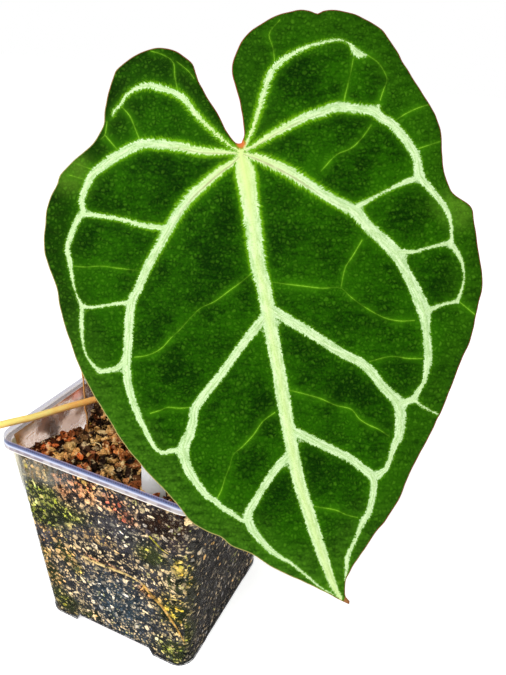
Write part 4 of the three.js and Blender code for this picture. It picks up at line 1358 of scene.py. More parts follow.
class SpacedPoints:
    """Points in the plane that keep apart, found by the square they lie in."""

    def __init__(self, square: float) -> None:
        """Starts with no points and squares of that size."""
        self.square = square
        self.rows: list[tuple[float, float]] = []
        self.sizes: list[float] = []
        self.buckets: dict[tuple[int, int], list[int]] = defaultdict(list)

    def key(self, x: float, y: float) -> tuple[int, int]:
        """The square that a place lies in."""
        return math.floor(x / self.square), math.floor(y / self.square)

    def near(self, x: float, y: float) -> Iterator[tuple[float, float]]:
        """The points in the squares round a place.

        Args:
            x: The place's x.
            y: Its y.

        Yields:
            The distance of a point and its size.
        """
        column, row = self.key(x, y)
        for i in (column - 1, column, column + 1):
            for j in (row - 1, row, row + 1):
                for number in self.buckets.get((i, j), ()):
                    other_x, other_y = self.rows[number]
                    yield math.hypot(other_x - x, other_y - y), self.sizes[number]

    def is_free(self, x: float, y: float, apart: float) -> bool:
        """Whether no point lies within a distance, of a square at most."""
        return all(gap >= apart for gap, _ in self.near(x, y))

    def has_room(self, x: float, y: float, size: float, apart: float) -> bool:
        """Whether a size has room at a place, with a share of both sizes between the points."""
        return all(gap >= apart * (size + other) for gap, other in self.near(x, y))

    def add(self, x: float, y: float, size: float = 0.0) -> int:
        """Adds a point and gives its number.

        Args:
            x: Its x.
            y: Its y.
            size: Its size.

        Returns:
            The number.
        """
        self.rows.append((x, y))
        self.sizes.append(size)
        self.buckets[self.key(x, y)].append(len(self.rows) - 1)
        return len(self.rows) - 1

    def offer(self, x: float, y: float, apart: float) -> None:
        """Adds a point if nothing lies within that distance."""
        if self.is_free(x, y, apart):
            self.add(x, y)

    def offer_beside(self, line: np.ndarray, apart: float, offs: Sequence[float], whole: bool) -> None:
        """Offers points on both sides of a line with a width.

        Args:
            line: Rows of x, y and width.
            apart: The distance that they keep.
            offs: How far to the side they lie.
            whole: Whether the last lies at the line's edge where that is further off.
        """
        ahead = np.gradient(line[:, :2], axis=0)
        ahead /= np.maximum(1e-9, np.linalg.norm(ahead, axis=1))[:, None]
        for x, y, wide, dx, dy in np.column_stack([line, ahead]):
            for off in (*offs[:-1], max(offs[-1], wide / 2) if whole else offs[-1]):
                for sign in (-1, 1):
                    self.offer(x - sign * off * dy, y + sign * off * dx, apart)


@dataclass(frozen=True)
class LineReach:
    """How points of the plane lie to lines with a width.

    Attributes:
        gap: The distance to the nearest edge, below 0 inside.
        middle: The distance to the nearest middle.
        side: That distance as a share of the half width, with a sign for the side.
        width: The width there.
        along: How far along its line that place is.
    """

    gap: np.ndarray
    middle: np.ndarray
    side: np.ndarray
    width: np.ndarray
    along: np.ndarray

    @classmethod
    def measured(cls, points: np.ndarray, lines: Iterable[np.ndarray]) -> "LineReach":
        """Measures points against lines.

        Args:
            points: A row for each point.
            lines: Lines as rows of x, y and width.

        Returns:
            The measures.
        """
        gap = np.full(len(points), np.inf)
        middle = np.full(len(points), np.inf)
        side, width, along = np.zeros((3, len(points)))
        for number, line in enumerate(lines):
            start_along = 40.0 * number
            for start, end in zip(line, line[1:]):
                span = end[:2] - start[:2]
                length = max(1e-6, float(np.hypot(*span)))
                away = points - start[:2]
                share = np.clip(away @ span / length**2, 0.0, 1.0)
                off = away - share[:, None] * span
                distance = np.hypot(off[:, 0], off[:, 1])
                wide = start[2] + (end[2] - start[2]) * share
                gap = np.minimum(gap, distance - wide / 2)
                better = distance < middle
                middle = np.where(better, distance, middle)
                sign = np.sign(off[:, 0] * span[1] - off[:, 1] * span[0]) * (1.0 if span[0] >= 0 else -1.0)
                side = np.where(better, sign * distance / np.maximum(wide / 2, 0.2), side)
                width = np.where(better, wide, width)
                along = np.where(better, start_along + share * length, along)
                start_along += length
        return cls(gap, middle, side, width, along)


@dataclass
class LeafBlade:
    """The blade: a thin closed sheet, cut to the margin and split along every vein.

    Its outline is the one that shows square on from the sight distance over the point of sight.
    """

    junction: Knot = (37.8, -3.5, 219.0)
    turn: float = 23.4
    lean: float = 26.5
    roll: float = 3.2
    tip: tuple[float, float] = (36.5, -150.7)
    sight: tuple[float, float] = (4.3, -61.8)
    sight_distance: float = 211.6
    thickness: float = 0.55
    side_drop: float = 5.0
    tip_drop: float = 5.0
    lobe_drop: float = 4.0
    margin_wave: float = 1.4
    margin_crumple: float = 0.22
    quilt: float = 0.9
    upper_rib: float = 0.3
    lower_ridge: float = 1.3
    grid: float = 1.55
    fine_grid: tuple[float, float] = (0.62, 0.54)
    fine_reach: float = 10.5
    margin_step: float = 1.0
    vein_step: float = 1.3

    def place(self) -> Matrix:
        """The blade's own axes, right, up and out of its face, in pot mm."""
        return posed(self.junction, self.turn, self.lean, self.roll)

    def outline(self) -> np.ndarray:
        """The margin as even points, with the small unevenness that a margin has.

        Returns:
            A row for each point.
        """
        rows = []
        for knots in (LEFT_MARGIN, RIGHT_MARGIN):
            for x, y in smooth_line(knots, self.margin_step)[:-1]:
                seat = Vector((x, y, 0.0)) * 0.23
                shift = (noise.noise(seat), noise.noise(seat + Vector((9, 9, 9))))
                rows.append((x + self.margin_crumple * shift[0], y + self.margin_crumple * shift[1]))
        return np.array(rows)

    def bow(self, u: np.ndarray, v: np.ndarray, gap: np.ndarray, margin: np.ndarray) -> np.ndarray:
        """How far the blade stands in front of its own flat plane.

        Args:
            u: Places to the right.
            v: Places upwards.
            gap: Distance to the nearest vein's edge.
            margin: Distance to the margin.

        Returns:
            The height at each place.
        """
        length = math.hypot(*self.tip)
        along = (u * self.tip[0] + v * self.tip[1]) / length
        across = (u * -self.tip[1] + v * self.tip[0]) / length
        sides = self.side_drop * (across / 75.0) ** 2
        to_tip = self.tip_drop * (along / length) ** 2
        ends = np.where(along > 0, to_tip, self.lobe_drop * (along / 50.0) ** 2)
        phase = np.where(across > 0, 0.8, 2.4)
        wave = self.margin_wave * (across / 70.0) ** 2 * np.sin(along / 11.0 + phase)
        swell = self.quilt * (1.0 - np.exp(-np.maximum(0.0, gap) / 6.0)) * (1.0 - np.exp(-margin / 1.6))
        return wave - sides - ends + swell

    @staticmethod
    def ribs(points: np.ndarray, mains: Sequence[np.ndarray]) -> np.ndarray:
        """How strongly the raised rib of the nearest vein shows at each point.

        Args:
            points: The blade's flat points.
            mains: The main veins as even lines.

        Returns:
            A strength from 0 to 1.
        """
        nearest = np.full(len(points), np.inf)
        strength = np.zeros(len(points))
        for name, line in zip(MAIN_VEINS, mains):
            full, fade = RIBS.get(name, (0.0, 1.0))
            away = LineReach.measured(points, [line])
            better = away.middle < nearest
            nearest = np.where(better, away.middle, nearest)
            strength = np.where(better, full * np.clip(1.0 - away.along / fade, 0.0, 1.0), strength)
        return strength

    def flat_sheet(self) -> tuple[np.ndarray, list[Sequence[int]], np.ndarray, Lines, Lines]:
        """The blade's flat triangles, with edges along the margin and all veins.

        Returns:
            The points, the triangles, the margin, and the main and thin veins as even lines.
        """
        margin = self.outline()
        mains = [smooth_line(knots, self.vein_step) for knots in MAIN_VEINS.values()]
        thins = [smooth_line([(*knot, 0.0) for knot in knots], self.vein_step) for knots in THIN_VEINS]
        cloth = SpacedPoints(2.0)
        ring = [cloth.add(x, y) for x, y in margin]
        edges = []
        for line in mains + thins:
            numbers = [cloth.add(x, y) for x, y in line[:, :2] if cloth.is_free(x, y, 0.25)]
            edges += [(a, b) for a, b in zip(numbers, numbers[1:]) if b == a + 1]
        for line in mains:
            cloth.offer_beside(line, 0.38, (0.45, 0.9), whole=True)
        for line in thins:
            cloth.offer_beside(line, 0.5, (0.7,), whole=False)
        for row in range(-20, 21):
            for column in range(-20, 21):
                x, y = self.fine_grid[0] * (column + 0.5 * (row % 2)), self.fine_grid[1] * row
                if math.hypot(x, y) < self.fine_reach:
                    cloth.offer(x, y, 0.4)
        row_step = self.grid * math.sqrt(0.75)
        low, high = margin.min(0), margin.max(0)
        for row in range(int((high[1] - low[1]) / row_step) + 1):
            for column in range(int((high[0] - low[0]) / self.grid) + 1):
                x = low[0] + self.grid * (column + 0.5 * (row % 2))
                cloth.offer(x, low[1] + row_step * row, 0.62 * self.grid)
        points = [Vector(row) for row in cloth.rows]
        made = delaunay_2d_cdt(points, edges, [ring], 1, 1e-4)
        return np.array([tuple(p) for p in made[0]]), made[2], margin, mains, thins

    def build(self) -> list[Piece]:
        """Makes the blade.

        Returns:
            The finished piece.
        """
        points, triangles, margin, mains, thins = self.flat_sheet()
        vein = LineReach.measured(points, mains)
        thin_gap = LineReach.measured(points, thins).gap
        closed = np.column_stack([np.vstack([margin, margin[:1]]), np.zeros(len(margin) + 1)])
        edge_gap = LineReach.measured(points, [closed]).gap
        rest = self.bow(points[:, 0], points[:, 1], vein.gap, edge_gap)
        body = np.minimum(1.0, 0.45 + edge_gap / 2.0) * self.thickness
        rib = self.upper_rib * np.minimum(1.0, vein.width / 3.5) * np.exp(-((vein.middle / 0.42) ** 2))
        upper = rest + rib - 0.1 * np.exp(-((thin_gap / 0.6) ** 2)) + body / 2
        across = np.clip(np.abs(vein.side), 0.0, 1.0)
        ridge = self.lower_ridge * np.minimum(1.0, vein.width / 4.0) * (1.0 - across**2)
        thin_ridge = 0.35 * np.exp(-((thin_gap / 0.5) ** 2))
        lower = rest - np.where(vein.gap < 0, ridge, 0.0) - thin_ridge - body / 2
        seen = np.array(self.sight) + (points - self.sight) * (1.0 - rest / self.sight_distance)[:, None]

        work = bmesh.new()
        measures = {
            "vein_gap": vein.gap, "vein_middle": vein.middle, "vein_side": vein.side,
            "vein_along": vein.along, "vein_rib": self.ribs(points, mains),
            "midrib_middle": LineReach.measured(points, mains[:1]).middle,
            "thin_gap": thin_gap, "margin_gap": edge_gap,
        }
        layers = {name: work.verts.layers.float.new(name) for name in measures}
        number = work.verts.layers.int.new("number")
        for i, (x, y) in enumerate(points):
            vert = work.verts.new((x, y, 0.0))
            vert[number] = i
            for name, values in measures.items():
                vert[layers[name]] = values[i]
        work.verts.ensure_lookup_table()
        for corners in triangles:
            work.faces.new([work.verts[i] for i in corners])
        bmesh.ops.delete(work, geom=[vert for vert in work.verts if not vert.link_faces], context="VERTS")
        face_out(work)
        whole = work.verts[:] + work.edges[:] + work.faces[:]
        made = bmesh.ops.extrude_face_region(work, geom=whole, use_keep_orig=True)
        back = {item for item in made["geom"] if isinstance(item, bmesh.types.BMVert)}
        sheet_map = work.loops.layers.uv.new("leaf_plane")
        for face in work.faces:
            face.material_index = 1 if all(vert in back for vert in face.verts) else 0
            for corner in face.loops:
                corner[sheet_map].uv = tuple(points[corner.vert[number]] * SHEET_MM)
        for vert in work.verts:
            i = vert[number]
            vert.co = (*seen[i], lower[i] if vert in back else upper[i])
        work.transform(self.place())
        face_out(work, smooth=True)
        materials = [VelvetUpperFinish().material(), VelvetLowerFinish().material()]
        return [finished("leaf_blade", work, materials, "velvet_leaf", "leaf")]


@dataclass
class Petiole:
    """The stalk that carries the blade, from the crown to its back, with a swollen joint."""

    blade: LeafBlade
    foot: float = 95.3
    radius: float = 2.3
    joint_radius: float = 3.2

    def behind(self, reach: float, drop: float) -> Knot:
        """A point behind the junction and lower."""
        back = self.blade.place().to_3x3() @ Vector((0.0, 0.0, -reach))
        return tuple(Vector(self.blade.junction) + back - Vector((0.0, 0.0, drop)))

    def build(self) -> list[Piece]:
        """Makes the petiole.

        Returns:
            The finished piece.
        """
        route = [
            (0.0, 0.0, self.foot), (0.4, 0.8, self.foot + 11.7), (5.0, 7.0, 135.0), (15.0, 13.0, 175.0),
            (26.0, 13.5, 203.0), self.behind(13.0, 4.5), self.behind(6.5, 1.2), self.behind(0.9, 0.2),
        ]
        stalk = [self.radius * share for share in (1.6, 1.2, 1.0, 1.0, 1.0, 0.98, 0.98, 1.0, 1.0, 1.1)]
        joint = [self.joint_radius * share for share in (1.0, 1.0, 0.8)]
        work = bmesh.new()
        Rod(route, stalk + joint, sides=20, step=1.4, lump=0.06).add_to(work)
        # Its under colour is painted shade.
        finish = StalkFinish(
            "green_petiole", young=srgb(112, 148, 62), old=srgb(126, 128, 62), speck=srgb(168, 190, 110),
            under=srgb(104, 132, 54), change=(0.0, 0.35),
        )
        return [finished("petiole", work, [finish.material()], "velvet_leaf", "leaf")]


# Pot


@dataclass
class ClearPot:
    """The clear pot: thin walls, stepped flange, four feet and drainage holes."""

    corner_steps: int = 10
    peg_length: float = 12.0
    peg_foot: float = -3.0

    def ring(self, work: Work, half: float, corner: float, z: float) -> list[bmesh.types.BMVert]:
        """A round-cornered square of points.

        Args:
            work: The mesh work that it is added to.
            half: Half its width.
            corner: Its corner's radius.
            z: Its height.

        Returns:
            The points, in order.
        """
        ring = bmesh.ops.create_circle(work, segments=4 * (self.corner_steps + 1), radius=1.0)["verts"]
        for i, vert in enumerate(ring):
            quarter, step = divmod(i, self.corner_steps + 1)
            angle = math.pi / 2 * (quarter + step / self.corner_steps)
            side = Vector(((1, 1), (-1, 1), (-1, -1), (1, -1))[quarter])
            centre = side * (half - corner)
            vert.co = (centre.x + corner * math.cos(angle), centre.y + corner * math.sin(angle), z)
        return ring

    def skin(self, name: str, profile: Sequence[tuple[float, float, float]]) -> Piece:
        """A closed body through rings.

        Args:
            name: Its name.
            profile: The half width, the corner's radius and the height of each ring.

        Returns:
            The body.
        """
        work = bmesh.new()
        stitch(work, [self.ring(work, *row) for row in profile])
        return shown(name, mesh_from(name, work))

    @staticmethod
    def passage(turn: float, rise: float, grow: float = 0.0) -> Piece:
        """The gap between the feet from side to side, wider at the bottom.

        Args:
            turn: The angle of its run.
            rise: Its height.
            grow: How much larger it is made, for the hollow above it.

        Returns:
            The body that cuts it.
        """
        work = bmesh.new()
        bmesh.ops.create_cube(work, size=1.0)
        for vert in work.verts:
            low = vert.co.z < 0
            half = POT.foot_gap_half + grow + (2 * POT.foot_draft if low else -POT.foot_draft)
            z = -rise if low else rise + grow
            vert.co = (vert.co.x * 4 * POT.base_half, vert.co.y * 2 * half, z)
        work.transform(Matrix.Rotation(turn, 4, "Z"))
        return shown("passage", mesh_from("passage", work))

    def peg(self, x: float, y: float) -> Piece:
        """A round peg that cuts a drainage hole.

        Args:
            x: Its x.
            y: Its y.

        Returns:
            The body.
        """
        work = bmesh.new()
        bmesh.ops.create_cone(
            work, cap_ends=True, segments=28, radius1=POT.drain_radius, radius2=POT.drain_radius,
            depth=self.peg_length, matrix=Matrix.Translation((x, y, self.peg_length / 2 + self.peg_foot)),
        )
        return shown("drain", mesh_from("drain", work))

    @staticmethod
    def cut(body: Piece, tools: Sequence[Piece]) -> None:
        """Cuts a body with tools and removes them.

        Args:
            body: The body.
            tools: The tools.
        """
        for tool in tools:
            change = body.modifiers.new("cut", "BOOLEAN")
            change.operation = "DIFFERENCE"
            change.solver = "EXACT"
            change.object = tool
            depsgraph = bpy.context.evaluated_depsgraph_get()
            mesh = bpy.data.meshes.new_from_object(body.evaluated_get(depsgraph))
            body.modifiers.clear()
            spent = (body.data, tool.data)
            body.data = mesh
            bpy.data.objects.remove(tool)
            for old in spent:
                bpy.data.meshes.remove(old)

    def build(self) -> list[Piece]:
        """Makes the pot.

        Returns:
            The finished piece.
        """
        s = POT
        top = s.flange_half
        corner = s.flange_corner
        inner = s.half_at(s.ledge) - s.wall
        inner_corner = s.top_corner - s.wall - 1.0
        body = self.skin("pot_outer", [
            (s.base_half - 0.5, s.base_corner - 0.5, 0.0),
            (s.half_at(0.2), s.base_corner - 0.1, 0.2),
            (s.half_at(0.6), s.base_corner, 0.6),
            (s.half_at(s.rim_foot - 0.3), s.top_corner - 1.0, s.rim_foot - 0.3),
            (s.half_at(s.rim_foot) + 0.3, s.top_corner - 0.7, s.rim_foot),
            (top - 0.3, corner - 0.3, s.rim_foot),
            (top, corner, s.rim_foot + 0.3),
            (top, corner, s.ledge - 0.3),
            (top - 0.15, corner - 0.15, s.ledge),
            (top - 0.15, corner - 0.15, s.height - 0.35),
            (top - 0.25, corner - 0.25, s.height - 0.1),
            (top - 0.4, corner - 0.4, s.height),
        ])
        rim = top - s.rim_wall
        rim_corner = corner - s.rim_wall
        hollow = self.skin("pot_hollow", [
            (s.half_at(s.floor) - s.wall - 0.8, s.base_corner - s.wall - 0.8, s.floor),
            (s.half_at(s.floor + 0.3) - s.wall - 0.2, s.base_corner - s.wall - 0.2, s.floor + 0.25),
            (s.half_at(s.floor + 0.9) - s.wall, s.base_corner - s.wall, s.floor + 0.9),
            (inner, inner_corner, s.ledge - 0.55),
            (inner + 0.12, inner_corner + 0.12, s.ledge - 0.2),
            (inner + 0.4, inner_corner + 0.4, s.ledge),
            (rim - 0.35, rim_corner - 0.35, s.ledge),
            (rim, rim_corner, s.ledge + 0.35),
            (rim, rim_corner, s.height - 0.3),
            (rim + 0.1, rim_corner + 0.1, s.height - 0.1),
            (rim + 0.8, rim_corner + 0.8, s.height + 0.6),
        ])
        passages = ((0.0, s.side_rise), (math.pi / 2, s.foot_rise))
        self.cut(hollow, [self.passage(turn, rise, s.floor) for turn, rise in passages])
        drains = [(0.0, 0.0)]
        drains += [(x * s.drain_ring, y * s.drain_ring) for x, y in ((1, 0), (0, 1), (-1, 0), (0, -1))]
        drains += [(x * s.foot_drain, y * s.foot_drain) for x, y in ((1, 1), (-1, 1), (-1, -1), (1, -1))]
        tools = [hollow] + [self.passage(turn, rise) for turn, rise in passages]
        self.cut(body, tools + [self.peg(x, y) for x, y in drains])
        work = bmesh.new()
        work.from_mesh(body.data)
        old = body.data
        bpy.data.objects.remove(body)
        bpy.data.meshes.remove(old)
        bmesh.ops.remove_doubles(work, verts=work.verts[:], dist=1e-3)
        self.soften(work)
        bmesh.ops.triangulate(work, faces=work.faces[:])
        for face in work.faces:
            face.smooth = True
        keep_sharp(work, 40.0)
        return [finished("clear_pot", work, [ClearPlasticFinish().material()], "clear_plastic", "pot")]

    @staticmethod
    def soften(work: Work) -> None:
        """Rounds the cut edges of the feet and the drainage holes a little.

        Args:
            work: The pot.
        """
        low = POT.foot_rise + POT.floor + 0.5
        sharp = [
            edge for edge in work.edges
            if edge.is_manifold and max(vert.co.z for vert in edge.verts) < low
            and edge.calc_face_angle(0.0) > math.radians(50.0)
        ]
        bmesh.ops.bevel(
            work, geom=sharp, offset=0.22, affect="EDGES", segments=2, profile=0.5, material=-1,
            clamp_overlap=True,
        )


# Mix


class Bit(Enum):
    """The kinds of bits in the mix, with their colours."""

    CREAM = srgb(232, 206, 162)
    GRIT = srgb(188, 182, 168)
    TAN = srgb(204, 160, 98)
    STRAW = srgb(252, 200, 122)
    RUST = srgb(206, 104, 50)
    HUSK = srgb(226, 148, 100)
    BRICK = srgb(206, 104, 74)
    BROWN = srgb(150, 78, 40)
    GOLD = srgb(232, 200, 70)
    MOSS = srgb(168, 180, 66)
    OLIVE = srgb(122, 122, 48)
    GREY = srgb(124, 116, 106)


class Ground(Enum):
    """The kinds of dark ground between the bits, standing for the mix's dark peat and charcoal and also
    painted shade in the gaps between the bits.
    """

    ASH = srgb(60, 58, 62)
    SLATE = srgb(50, 62, 70)
    SOOT = srgb(34, 32, 32)
    PEAT = srgb(44, 28, 18)
    ALGAE = srgb(46, 52, 28)
    FILM = srgb(112, 104, 76)
    SMOKE = srgb(52, 49, 47)
    RUST = srgb(84, 40, 18)


@dataclass(frozen=True)
class Zone:
    """A stretch of the mix with a look of its own, on a wall or on top.

    It has a centre, half widths, the kinds of its bits and ground, the share that bits cover and their size.
    """

    centre: tuple[float, float]
    reach: tuple[float, float]
    bit: Bit
    ground: Ground
    fill: float
    coarse: float

    def share(self, a: float, b: float) -> float:
        """How strongly the zone counts at a place."""
        off = ((a - self.centre[0]) / self.reach[0]) ** 2 + ((b - self.centre[1]) / self.reach[1]) ** 2
        return min(1.0, 1.5 * math.exp(-1.3 * off))

    def numbers(self) -> np.ndarray:
        """Its colours, cover and size as one row that can be blended."""
        return np.array([*self.bit.value[:3], *self.ground.value[:3], self.fill, self.coarse])


FRONT_BASE = Zone((0, 50), (90, 90), Bit.CREAM, Ground.ASH, 0.55, 0.15)
SIDE_BASE = Zone((0, 50), (90, 90), Bit.GREY, Ground.SMOKE, 0.2, 0.3)
TOP_BASE = Zone((0, 0), (90, 90), Bit.BROWN, Ground.PEAT, 0.5, 0.6)
FRONT_ZONES = [
    Zone((-34, 90), (10, 6), Bit.TAN, Ground.FILM, 0.62, 0.8),
    Zone((-22, 90), (9, 6), Bit.TAN, Ground.FILM, 0.62, 0.8),
    Zone((-30, 77), (14, 7), Bit.MOSS, Ground.ALGAE, 0.62, 0.25),
    Zone((-18, 71), (14, 6), Bit.MOSS, Ground.ALGAE, 0.5, 0.2),
    Zone((-14, 88), (6, 10), Bit.HUSK, Ground.PEAT, 0.66, 0.9),
    Zone((-5, 90), (7, 9), Bit.HUSK, Ground.PEAT, 0.72, 1.0),
    Zone((8, 88), (5, 5), Bit.BRICK, Ground.SOOT, 0.7, 1.0),
    Zone((15, 82), (6, 5), Bit.BRICK, Ground.SOOT, 0.7, 1.0),
    Zone((32, 86), (14, 9), Bit.GREY, Ground.PEAT, 0.4, 0.3),
    Zone((10, 72), (12, 6), Bit.GRIT, Ground.ASH, 0.4, 0.0),
    Zone((-31, 63), (12, 7), Bit.MOSS, Ground.ALGAE, 0.5, 0.2),
    Zone((-30, 52), (12, 6), Bit.TAN, Ground.ASH, 0.45, 0.2),
    Zone((24, 66), (7, 7), Bit.OLIVE, Ground.ALGAE, 0.2, 0.0),
    Zone((37, 64), (5, 6), Bit.GOLD, Ground.ALGAE, 0.9, 1.0),
    Zone((36, 54), (5, 5), Bit.CREAM, Ground.ALGAE, 0.5, 1.0),
    Zone((-3, 62), (9, 5), Bit.TAN, Ground.ASH, 0.6, 0.4),
    Zone((0, 54), (18, 5), Bit.CREAM, Ground.SOOT, 0.46, 0.1),
    Zone((-3, 49), (10, 2.5), Bit.HUSK, Ground.PEAT, 0.7, 0.6),
    Zone((-21, 44), (6, 7), Bit.TAN, Ground.ALGAE, 0.66, 0.8),
    Zone((-16, 37), (4, 4), Bit.GOLD, Ground.ALGAE, 0.6, 0.6),
    Zone((-35, 40), (5, 4), Bit.STRAW, Ground.ALGAE, 0.75, 0.9),
    Zone((-32, 26), (8, 9), Bit.TAN, Ground.ALGAE, 0.5, 0.6),
    Zone((5, 26), (18, 18), Bit.GRIT, Ground.SLATE, 0.42, 0.0),
    Zone((22, 42), (5, 4), Bit.HUSK, Ground.PEAT, 0.6, 0.9),
    Zone((33, 36), (8, 11), Bit.GOLD, Ground.ALGAE, 0.42, 0.4),
    Zone((-28, 10), (10, 8), Bit.OLIVE, Ground.ALGAE, 0.3, 0.4),
    Zone((-12, 9), (5, 5), Bit.CREAM, Ground.ALGAE, 0.55, 0.5),
    Zone((8, 7), (12, 4), Bit.CREAM, Ground.SLATE, 0.5, 0.1),
    Zone((33, 9), (10, 8), Bit.MOSS, Ground.ALGAE, 0.3, 0.2),
]
RIGHT_ZONES = [
    Zone((-42, 55), (5, 14), Bit.GOLD, Ground.ALGAE, 0.45, 0.4),
    Zone((-40, 20), (6, 20), Bit.OLIVE, Ground.ALGAE, 0.4, 0.3),
    Zone((0, 6), (40, 5), Bit.GREY, Ground.SOOT, 0.42, 0.2),
]
SIDE_ZONES = [
    Zone((-22, 76), (14, 9), Bit.HUSK, Ground.PEAT, 0.5, 0.7),
    Zone((18, 64), (16, 10), Bit.MOSS, Ground.ALGAE, 0.4, 0.2),
    Zone((-10, 42), (18, 10), Bit.GRIT, Ground.SLATE, 0.42, 0.0),
    Zone((26, 28), (12, 12), Bit.TAN, Ground.ALGAE, 0.45, 0.4),
    Zone((-26, 14), (12, 10), Bit.OLIVE, Ground.ALGAE, 0.35, 0.3),
]
TOP_ZONES = [
    Zone((-40, -22), (5, 10), Bit.RUST, Ground.RUST, 0.5, 0.8),
    Zone((-33, -20), (6, 7), Bit.RUST, Ground.PEAT, 0.6, 0.8),
    Zone((-27, -26), (4, 7), Bit.STRAW, Ground.RUST, 0.75, 0.8),
    Zone((-18, -29), (6, 5), Bit.RUST, Ground.PEAT, 0.7, 0.8),
    Zone((-20, -18), (8, 4), Bit.BROWN, Ground.PEAT, 0.25, 0.8),
    Zone((-10, -22), (5, 8), Bit.TAN, Ground.PEAT, 0.35, 0.6),
    Zone((-25, -9), (7, 7), Bit.STRAW, Ground.PEAT, 0.55, 0.8),
    Zone((-32, 3), (8, 8), Bit.STRAW, Ground.PEAT, 0.5, 0.8),
    Zone((-41, 9), (5, 7), Bit.BROWN, Ground.PEAT, 0.5, 0.6),
    Zone((2, -27), (7, 7), Bit.TAN, Ground.PEAT, 0.4, 0.6),
    Zone((-12, -12), (6, 4), Bit.RUST, Ground.RUST, 0.5, 0.6),
]


@dataclass(frozen=True)
class Look:
    """The look of the mix at one place: the blend of all zones there."""

    bit: np.ndarray
    ground: np.ndarray
    fill: float
    coarse: float

    @classmethod
    def at(cls, base: Zone, zones: Sequence[Zone], a: float, b: float) -> "Look":
        """Blends the zones at a place.

        Args:
            base: What lies where no zone reaches.
            zones: The zones, the later over the earlier.
            a: The place's first number.
            b: Its second.

        Returns:
            The look.
        """
        seat = Vector((a, b, 0.0)) * 0.14
        a += 3.5 * noise.noise(seat)
        b += 3.5 * noise.noise(seat + Vector((7.0, 7.0, 7.0)))
        look = base.numbers()
        for zone in zones:
            look += (zone.numbers() - look) * zone.share(a, b)
        return cls(look[:3], look[3:6], float(look[6]), float(look[7]))

    def layers(self) -> dict[str, float | tuple[float, ...]]:
        """What a mesh holds of it, by the names of the layers."""
        colours = {"bit": (*self.bit, 1.0), "ground": (*self.ground, 1.0)}
        return colours | {"fill": self.fill, "coarse": self.coarse}


class MixWork:
    """Mesh work of the mix, whose points hold a look."""

    def __init__(self) -> None:
        """Starts it empty."""
        self.work = bmesh.new()
        verts = self.work.verts.layers
        self.layers = {name: verts.float_color.new(name) for name in ("bit", "ground")}
        self.layers.update({name: verts.float.new(name) for name in ("fill", "coarse")})

    def paint(self, verts: Iterable[bmesh.types.BMVert], look: Look) -> None:
        """Gives points a look.

        Args:
            verts: The points.
            look: The look.
        """
        for name, value in look.layers().items():
            for vert in verts:
                vert[self.layers[name]] = value


class GrainShape:
    """One chipped bit, kept as a small mesh that is stamped again and again."""

    def __init__(self, detail: int, seed: int) -> None:
        """Makes the bit.

        Args:
            detail: The subdivisions of its ball.
            seed: Sets its shape.
        """
        random = np.random.default_rng(seed)
        work = MixWork().work
        bmesh.ops.create_icosphere(work, subdivisions=detail, radius=1.0)
        cuts = random.normal(size=(7, 3))
        cuts /= np.linalg.norm(cuts, axis=1)[:, None]
        depths = random.uniform(0.4, 0.8, 7)
        for vert in work.verts:
            seat = vert.co + Vector((seed * 3.1, 0.0, 0.0))
            vert.co *= 1.0 + 0.55 * noise.noise(seat * 1.2) + 0.5 * noise.noise(seat * 2.9)
            for cut, depth in zip(cuts, depths):
                normal = Vector(cut)
                vert.co -= normal * max(0.0, vert.co.dot(normal) - depth)
        self.mesh = mesh_from("grain_shape", work)
        self.rest = np.empty(len(self.mesh.vertices) * 3)
        self.mesh.vertices.foreach_get("co", self.rest)

    def stamp(self, work: Work, place: Matrix, look: Look) -> None:
        """Adds a copy.

        Args:
            work: The mesh work that it is added to.
            place: Its place, turn and size.
            look: Its look.
        """
        count = len(self.mesh.vertices)
        self.mesh.vertices.foreach_set("co", self.rest)
        self.mesh.transform(place)
        for name, value in look.layers().items():
            key = "color" if isinstance(value, tuple) else "value"
            self.mesh.attributes[name].data.foreach_set(key, np.tile(np.array(value, np.float32), count))
        work.from_mesh(self.mesh)

    def drop(self) -> None:
        """Removes the small mesh."""
        bpy.data.meshes.remove(self.mesh)


@dataclass(frozen=True)
class WallRoot:
    """A root pressed against the front wall, through places given as x and height."""

    radius: float
    colour: Colour
    spots: tuple[tuple[float, float], ...]

    def gap(self, x: float, z: float) -> float:
        """The distance from a place on the wall.

        Args:
            x: The place's x.
            z: Its height.

        Returns:
            The distance.
        """
        spot = Vector((x, z))
        gaps = []
        for start, end in zip(self.spots, self.spots[1:]):
            run = Vector(end) - Vector(start)
            away = spot - Vector(start)
            share = max(0.0, min(1.0, away.dot(run) / run.length_squared))
            gaps.append((away - run * share).length)
        return min(gaps) - self.radius


WALL_ROOTS = [
    WallRoot(
        0.6, srgb(206, 180, 120), ((-12, 47), (-8, 46.8), (-2, 46.6), (5, 47.2), (14, 47), (19.5, 45.4))
    ),
    WallRoot(
        0.55, srgb(198, 156, 80), ((19, 45.5), (22.6, 41.1), (27.4, 37), (32.2, 29.6), (36, 23), (38, 18))
    ),
    WallRoot(0.3, srgb(176, 168, 60), ((24, 77), (27, 74.5), (30, 72), (33, 71))),
]


def root_gap(x: float, z: float) -> float:
    """The distance from a place on the front wall to the nearest root."""
    return min(root.gap(x, z) for root in WALL_ROOTS)


